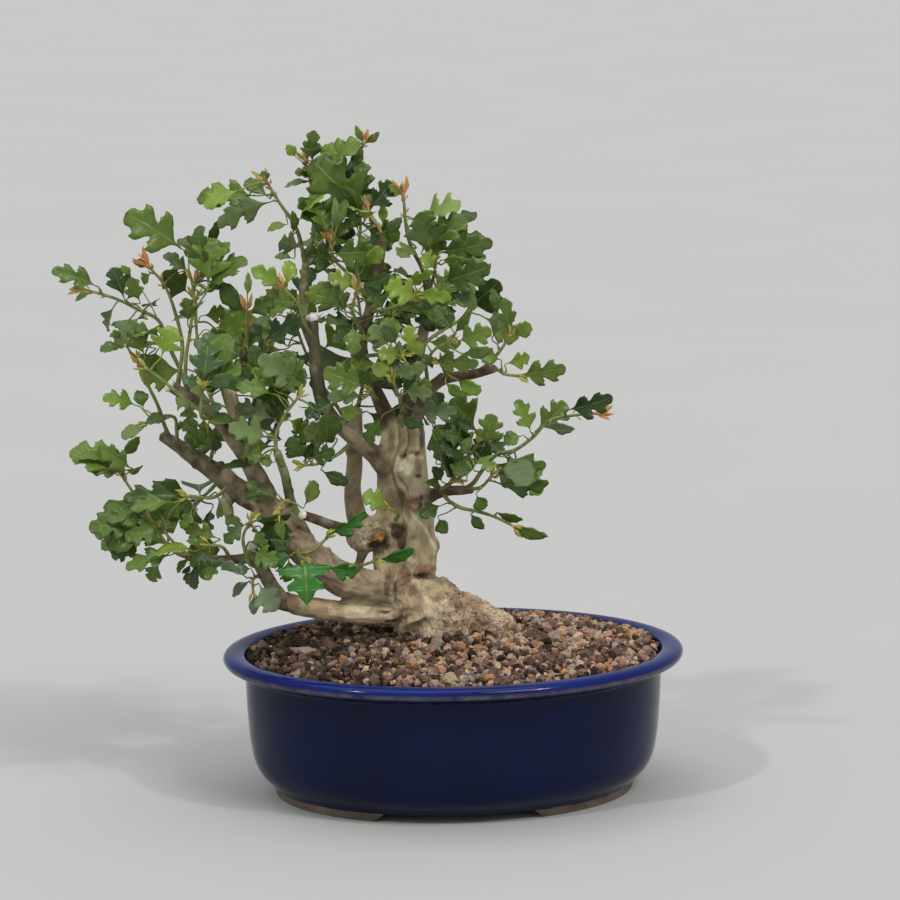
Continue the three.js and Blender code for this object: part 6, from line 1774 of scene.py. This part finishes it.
def add_stem(shape, line, draw, brown_until=0.25):
    """A young stem, brown where it leaves the bark and green further out."""
    fine = smooth_line(line, 1.6)
    shares = np.linspace(0, 1, len(fine))
    radii = STEM_START + (STEM_END - STEM_START) * shares
    radii = radii * (1 + 0.06 * np.sin(shares * 23))
    points, faces = tube(fine, radii, STEM_SIDES)
    brown = np.clip(1 - shares / brown_until, 0, 1)[:, None] if brown_until else np.zeros((len(fine), 1))
    rows = STEM_GREEN * draw.uniform(0.85, 1.1) * (1 - brown) + STEM_BROWN * brown
    tones = np.vstack([np.repeat(rows, STEM_SIDES, axis=0), rows[0], rows[-1]])
    shape.add(points, faces, tones, slot=STEM_SLOT)


def grow_shoot(name, places, leaves, side, draw):
    """The stems, leaves, buds and young tips that stand for one solid shoot."""
    line = np.array([seen(*place) for place in places])
    lines = [line[1:]]
    shape = Shape()
    add_stem(shape, line, draw)
    if side:
        where, side_places = side
        start = point_at(lines[0], where)[0]
        lines.append(np.array([start, *(seen(*place) for place in side_places)]))
        add_stem(shape, lines[1], draw, 0)
    points = shoot_points(name)
    for row in leaves:
        built = as_built(points, [row_leaf(lines, row, shift) for shift in SHIFTS])
        dress_leaf(shape, name, built or row_leaf(lines, row, 0), draw)
    for line in lines:
        add_young_tip(shape, line, RED_TIPS.get(name, REDNESS), draw)
    return shape


def dress_leaf(shape, name, leaf, draw):
    """A leaf with the bud where its stalk starts."""
    under = 1.0 if draw.random() < UNDERSIDES else 0.0
    add_leaf(shape, leaf, leaf_tone(name, leaf, draw), draw, under)
    ahead = unit(leaf["base"] - leaf["root"])
    size = draw.uniform(0.55, 0.85)
    add_bud(shape, leaf["root"] + ahead * 0.6, ahead, size, BUD_PINK * draw.uniform(0.7, 1.1), draw)


def new_spray(name, shape):
    new_piece("spray_" + name, shape, [LEAF, STEM], ["shoot_" + name])


def make_foliage():
    draw = random.Random(SPRAY_SEED)
    for name, places, leaves, *side in SHOOTS:
        new_spray(name, grow_shoot(name, places, leaves, side, draw))
    numbers = seeded_draws(BACK_SEED)
    for name, places, count in BACK_SHOOTS:
        shape = grow_shoot(name, places, (), (), draw)
        line = np.array([seen(*place) for place in places[1:]])
        points = shoot_points(name)
        for index in range(count):
            draws = [next(numbers) for _ in range(4)]
            choices = [round_leaf(line, index, count, draws, swing) for swing in SWINGS]
            dress_leaf(shape, name, as_built(points, choices) or choices[0], draw)
        new_spray(name, shape)


# Leaves that fill the crown between the placed ones. Each clump is
# (across, up, depth, half its reach across, up and deep, number of leaves).
CLUMPS = [
    (-104, 272, -8, 10, 6, 8, 2),
    (-56, 284, -2, 15, 9, 10, 9),
    (-50, 262, -4, 26, 11, 14, 16),
    (-10, 252, -6, 20, 12, 12, 12),
    (-14, 226, -8, 20, 12, 16, 15),
    (-38, 210, -16, 13, 10, 12, 8),
    (-24, 192, -16, 24, 12, 12, 17),
    (-74, 221, -14, 8, 6, 8, 3),
    (-110, 240, -10, 13, 11, 10, 9),
    (-136, 218, -6, 17, 14, 10, 8),
    (-108, 196, -18, 16, 9, 12, 8),
    (-76, 192, -18, 12, 7, 10, 5),
    (-76, 168, -18, 22, 13, 12, 14),
    (-108, 172, -14, 12, 8, 10, 4),
    (-136, 122, -16, 22, 12, 12, 12),
    (-118, 106, -16, 14, 7, 10, 4),
    (-84, 112, -20, 18, 13, 10, 9),
    (-152, 152, -8, 10, 6, 8, 3),
    (6, 152, -12, 15, 13, 12, 12),
    (32, 148, -12, 12, 6, 10, 3),
    (26, 206, -10, 8, 10, 8, 3),
    (-90, 200, 26, 26, 26, 16, 14),
    (-50, 232, 28, 26, 24, 14, 14),
    (-8, 216, 30, 22, 20, 12, 10),
    (-30, 186, 22, 24, 18, 12, 8),
    (-116, 134, 16, 18, 12, 12, 6),
    (10, 156, 22, 14, 12, 10, 5),
]
# Round places in front of the wood that no such leaf covers: (across, up, radius)
CLEAR_OF_LEAVES = [
    (-28, 130, 20), (-22, 152, 15), (-73, 206, 6), (-60, 138, 6), (-94, 252, 9), (-62, 219, 4),
    (-18, 112, 14),
]
CLEAR_DEPTH = 8
LONGEST_STALK = 15.0
LEAVES_APART = 6.5
LONG_LEAVES = 0.7
TRIES = 60
POINTS_IN_A_PIECE = 55000
CROWN_MIDDLE = (-50, 190, 5)


def is_clear(spot):
    """Whether a leaf may lie at (across, up, depth) without hiding the wood that shows."""
    across, up, depth = spot
    if depth >= CLEAR_DEPTH:
        return True
    return all(math.hypot(across - u, up - v) >= radius for u, v, radius in CLEAR_OF_LEAVES)


def make_fill(lines):
    """Leaves of the inner crown, each on a stalk from the nearest stem or twig."""
    draw = random.Random(INNER_SEED)
    anchors = [smooth_line([seen(*place) for place in row[1]], 2.0) for row in SHOOTS + BACK_SHOOTS]
    anchors += [line[len(line) // 3:, :3] for tone, line in lines if tone in ("twig", "green")]
    anchors = np.vstack(anchors)
    middle = seen(*CROWN_MIDDLE)
    taken = []
    shape = Shape()
    for across, up, depth, *reach, count in CLUMPS:
        made = 0
        for _ in range(count * TRIES):
            if made == count:
                break
            offset = np.array([draw.uniform(-1, 1) for _ in range(3)])
            if offset @ offset > 1:
                continue
            spot = np.array([across, up, depth]) + offset * reach
            centre = seen(*spot)
            if not is_clear(spot):
                continue
            if taken and np.linalg.norm(np.array(taken) - centre, axis=1).min() < LEAVES_APART:
                continue
            away = np.linalg.norm(anchors - centre, axis=1)
            root = anchors[away.argmin()]
            length = draw.uniform(16, 24) if draw.random() < LONG_LEAVES else draw.uniform(10, 16)
            if not length * 0.5 + 2 < away.min() < length / 2 + LONGEST_STALK:
                continue
            outward = unit(centre - middle)
            axis = unit(centre - root) + 0.35 * outward
            axis = unit(axis + np.array([draw.gauss(0, 0.25) for _ in range(3)]))
            light = np.array([draw.gauss(0, 0.35), draw.gauss(0, 0.35), 0.55])
            light += 0.6 * outward + 0.7 * unit(EYE - centre)
            leaf = {
                "kind": draw.choice(("five", "lobed", "lobed", "broad")), "root": root,
                "base": centre - axis * length / 2, "tip": centre + axis * length / 2,
                "width": length * draw.uniform(0.64, 0.84), "turn": 0.0, "facing": light,
            }
            tone = leaf_tone("inner", leaf, draw)
            add_leaf(shape, leaf, tone, draw, 1.0 if draw.random() < INNER_UNDERSIDES else 0.0)
            taken.append(centre)
            made += 1
        if shape.count > POINTS_IN_A_PIECE:
            new_piece(f"inner_leaves_{len(taken)}", shape, [LEAF, STEM])
            shape = Shape()
    new_piece("inner_leaves_last", shape, [LEAF, STEM])


# Stage, light and camera


FLOOR_REACH = 60.0


def make_floor():
    mesh = bpy.data.meshes.new("floor")
    corners = [(FLOOR_REACH * x, FLOOR_REACH * y, 0) for x, y in ((-1, -1), (1, -1), (1, 1), (-1, 1))]
    mesh.from_pydata(corners, [], [(0, 1, 2, 3)])
    mesh.materials.append(floor_material())
    floor = bpy.data.objects.new("floor", mesh)
    bpy.context.scene.collection.objects.link(floor)


# A broad key from the upper right, one from above and two small ones for gloss:
# (name, the way it shines, strength, spread in degrees, colour)
LIGHTS = [
    ("key", (-0.5, 0.75, -1.15), 0.85, 22, (1.0, 0.98, 0.95)),
    ("top", (0.1, -0.1, -1.0), 0.9, 50, (1.0, 1.0, 1.0)),
    ("glint_right", (-0.5, 0.55, -0.75), 0.5, 3, (1.0, 0.99, 0.96)),
    ("glint_left", (0.54, 0.45, -0.71), 0.7, 3, (0.97, 0.99, 1.0)),
]
ROOM_COLOUR = (0.94, 0.97, 1.0, 1.0)
ROOM_STRENGTH = 0.5


def distant_light(name, way, strength, spread, colour):
    """Soft light from far off, so that the floor stays even."""
    data = bpy.data.lights.new(name, "SUN")
    data.energy = strength
    data.angle = math.radians(spread)
    data.color = colour
    light = bpy.data.objects.new(name, data)
    light.rotation_euler = Vector(way).to_track_quat("-Z", "Y").to_euler()
    bpy.context.scene.collection.objects.link(light)


def make_light():
    """Lights from far off in a pale room."""
    world = bpy.data.worlds.new("room")
    world.use_nodes = True
    room = world.node_tree.nodes["Background"].inputs
    room["Color"].default_value = ROOM_COLOUR
    room["Strength"].default_value = ROOM_STRENGTH
    bpy.context.scene.world = world
    for light in LIGHTS:
        distant_light(*light)


def make_camera():
    pitch_cos, pitch_sin = math.cos(CAMERA_PITCH), math.sin(CAMERA_PITCH)
    forward, level, up = (0.0, pitch_cos, -pitch_sin), (1.0, 0.0, 0.0), (0.0, pitch_sin, pitch_cos)
    forward, level, up = (from_view(*way) - POT_MIDDLE for way in (forward, level, up))
    rolled_up = up * math.cos(CAMERA_ROLL) + level * math.sin(CAMERA_ROLL)
    rolled_right = level * math.cos(CAMERA_ROLL) - up * math.sin(CAMERA_ROLL)
    data = bpy.data.cameras.new("camera")
    data.sensor_width = SENSOR_WIDTH
    data.lens = FOCAL_PIXELS / IMAGE_PIXELS * SENSOR_WIDTH
    data.clip_end = CAMERA_FARTHEST
    camera = bpy.data.objects.new("camera", data)
    turn = Matrix(np.column_stack([rolled_right, rolled_up, -forward]).tolist()).to_4x4()
    camera.matrix_world = Matrix.Translation(from_view(*CAMERA_PLACE) * MM) @ turn
    bpy.context.scene.collection.objects.link(camera)
    bpy.context.scene.camera = camera


make_camera()
make_light()
make_floor()
make_pot()
make_soil_bed()
limbs = limb_lines()
bark = wood_body(limbs)
carve_bark(bark, limbs)
make_seals()
make_grains(bark)
make_foliage()
make_fill(limbs)
for screen in ("drain_screen_left", "drain_screen_right"):
    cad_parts[screen].data.materials.clear()
    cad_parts[screen].data.materials.append(NET)

bpy.context.scene.view_settings.view_transform = "Standard"
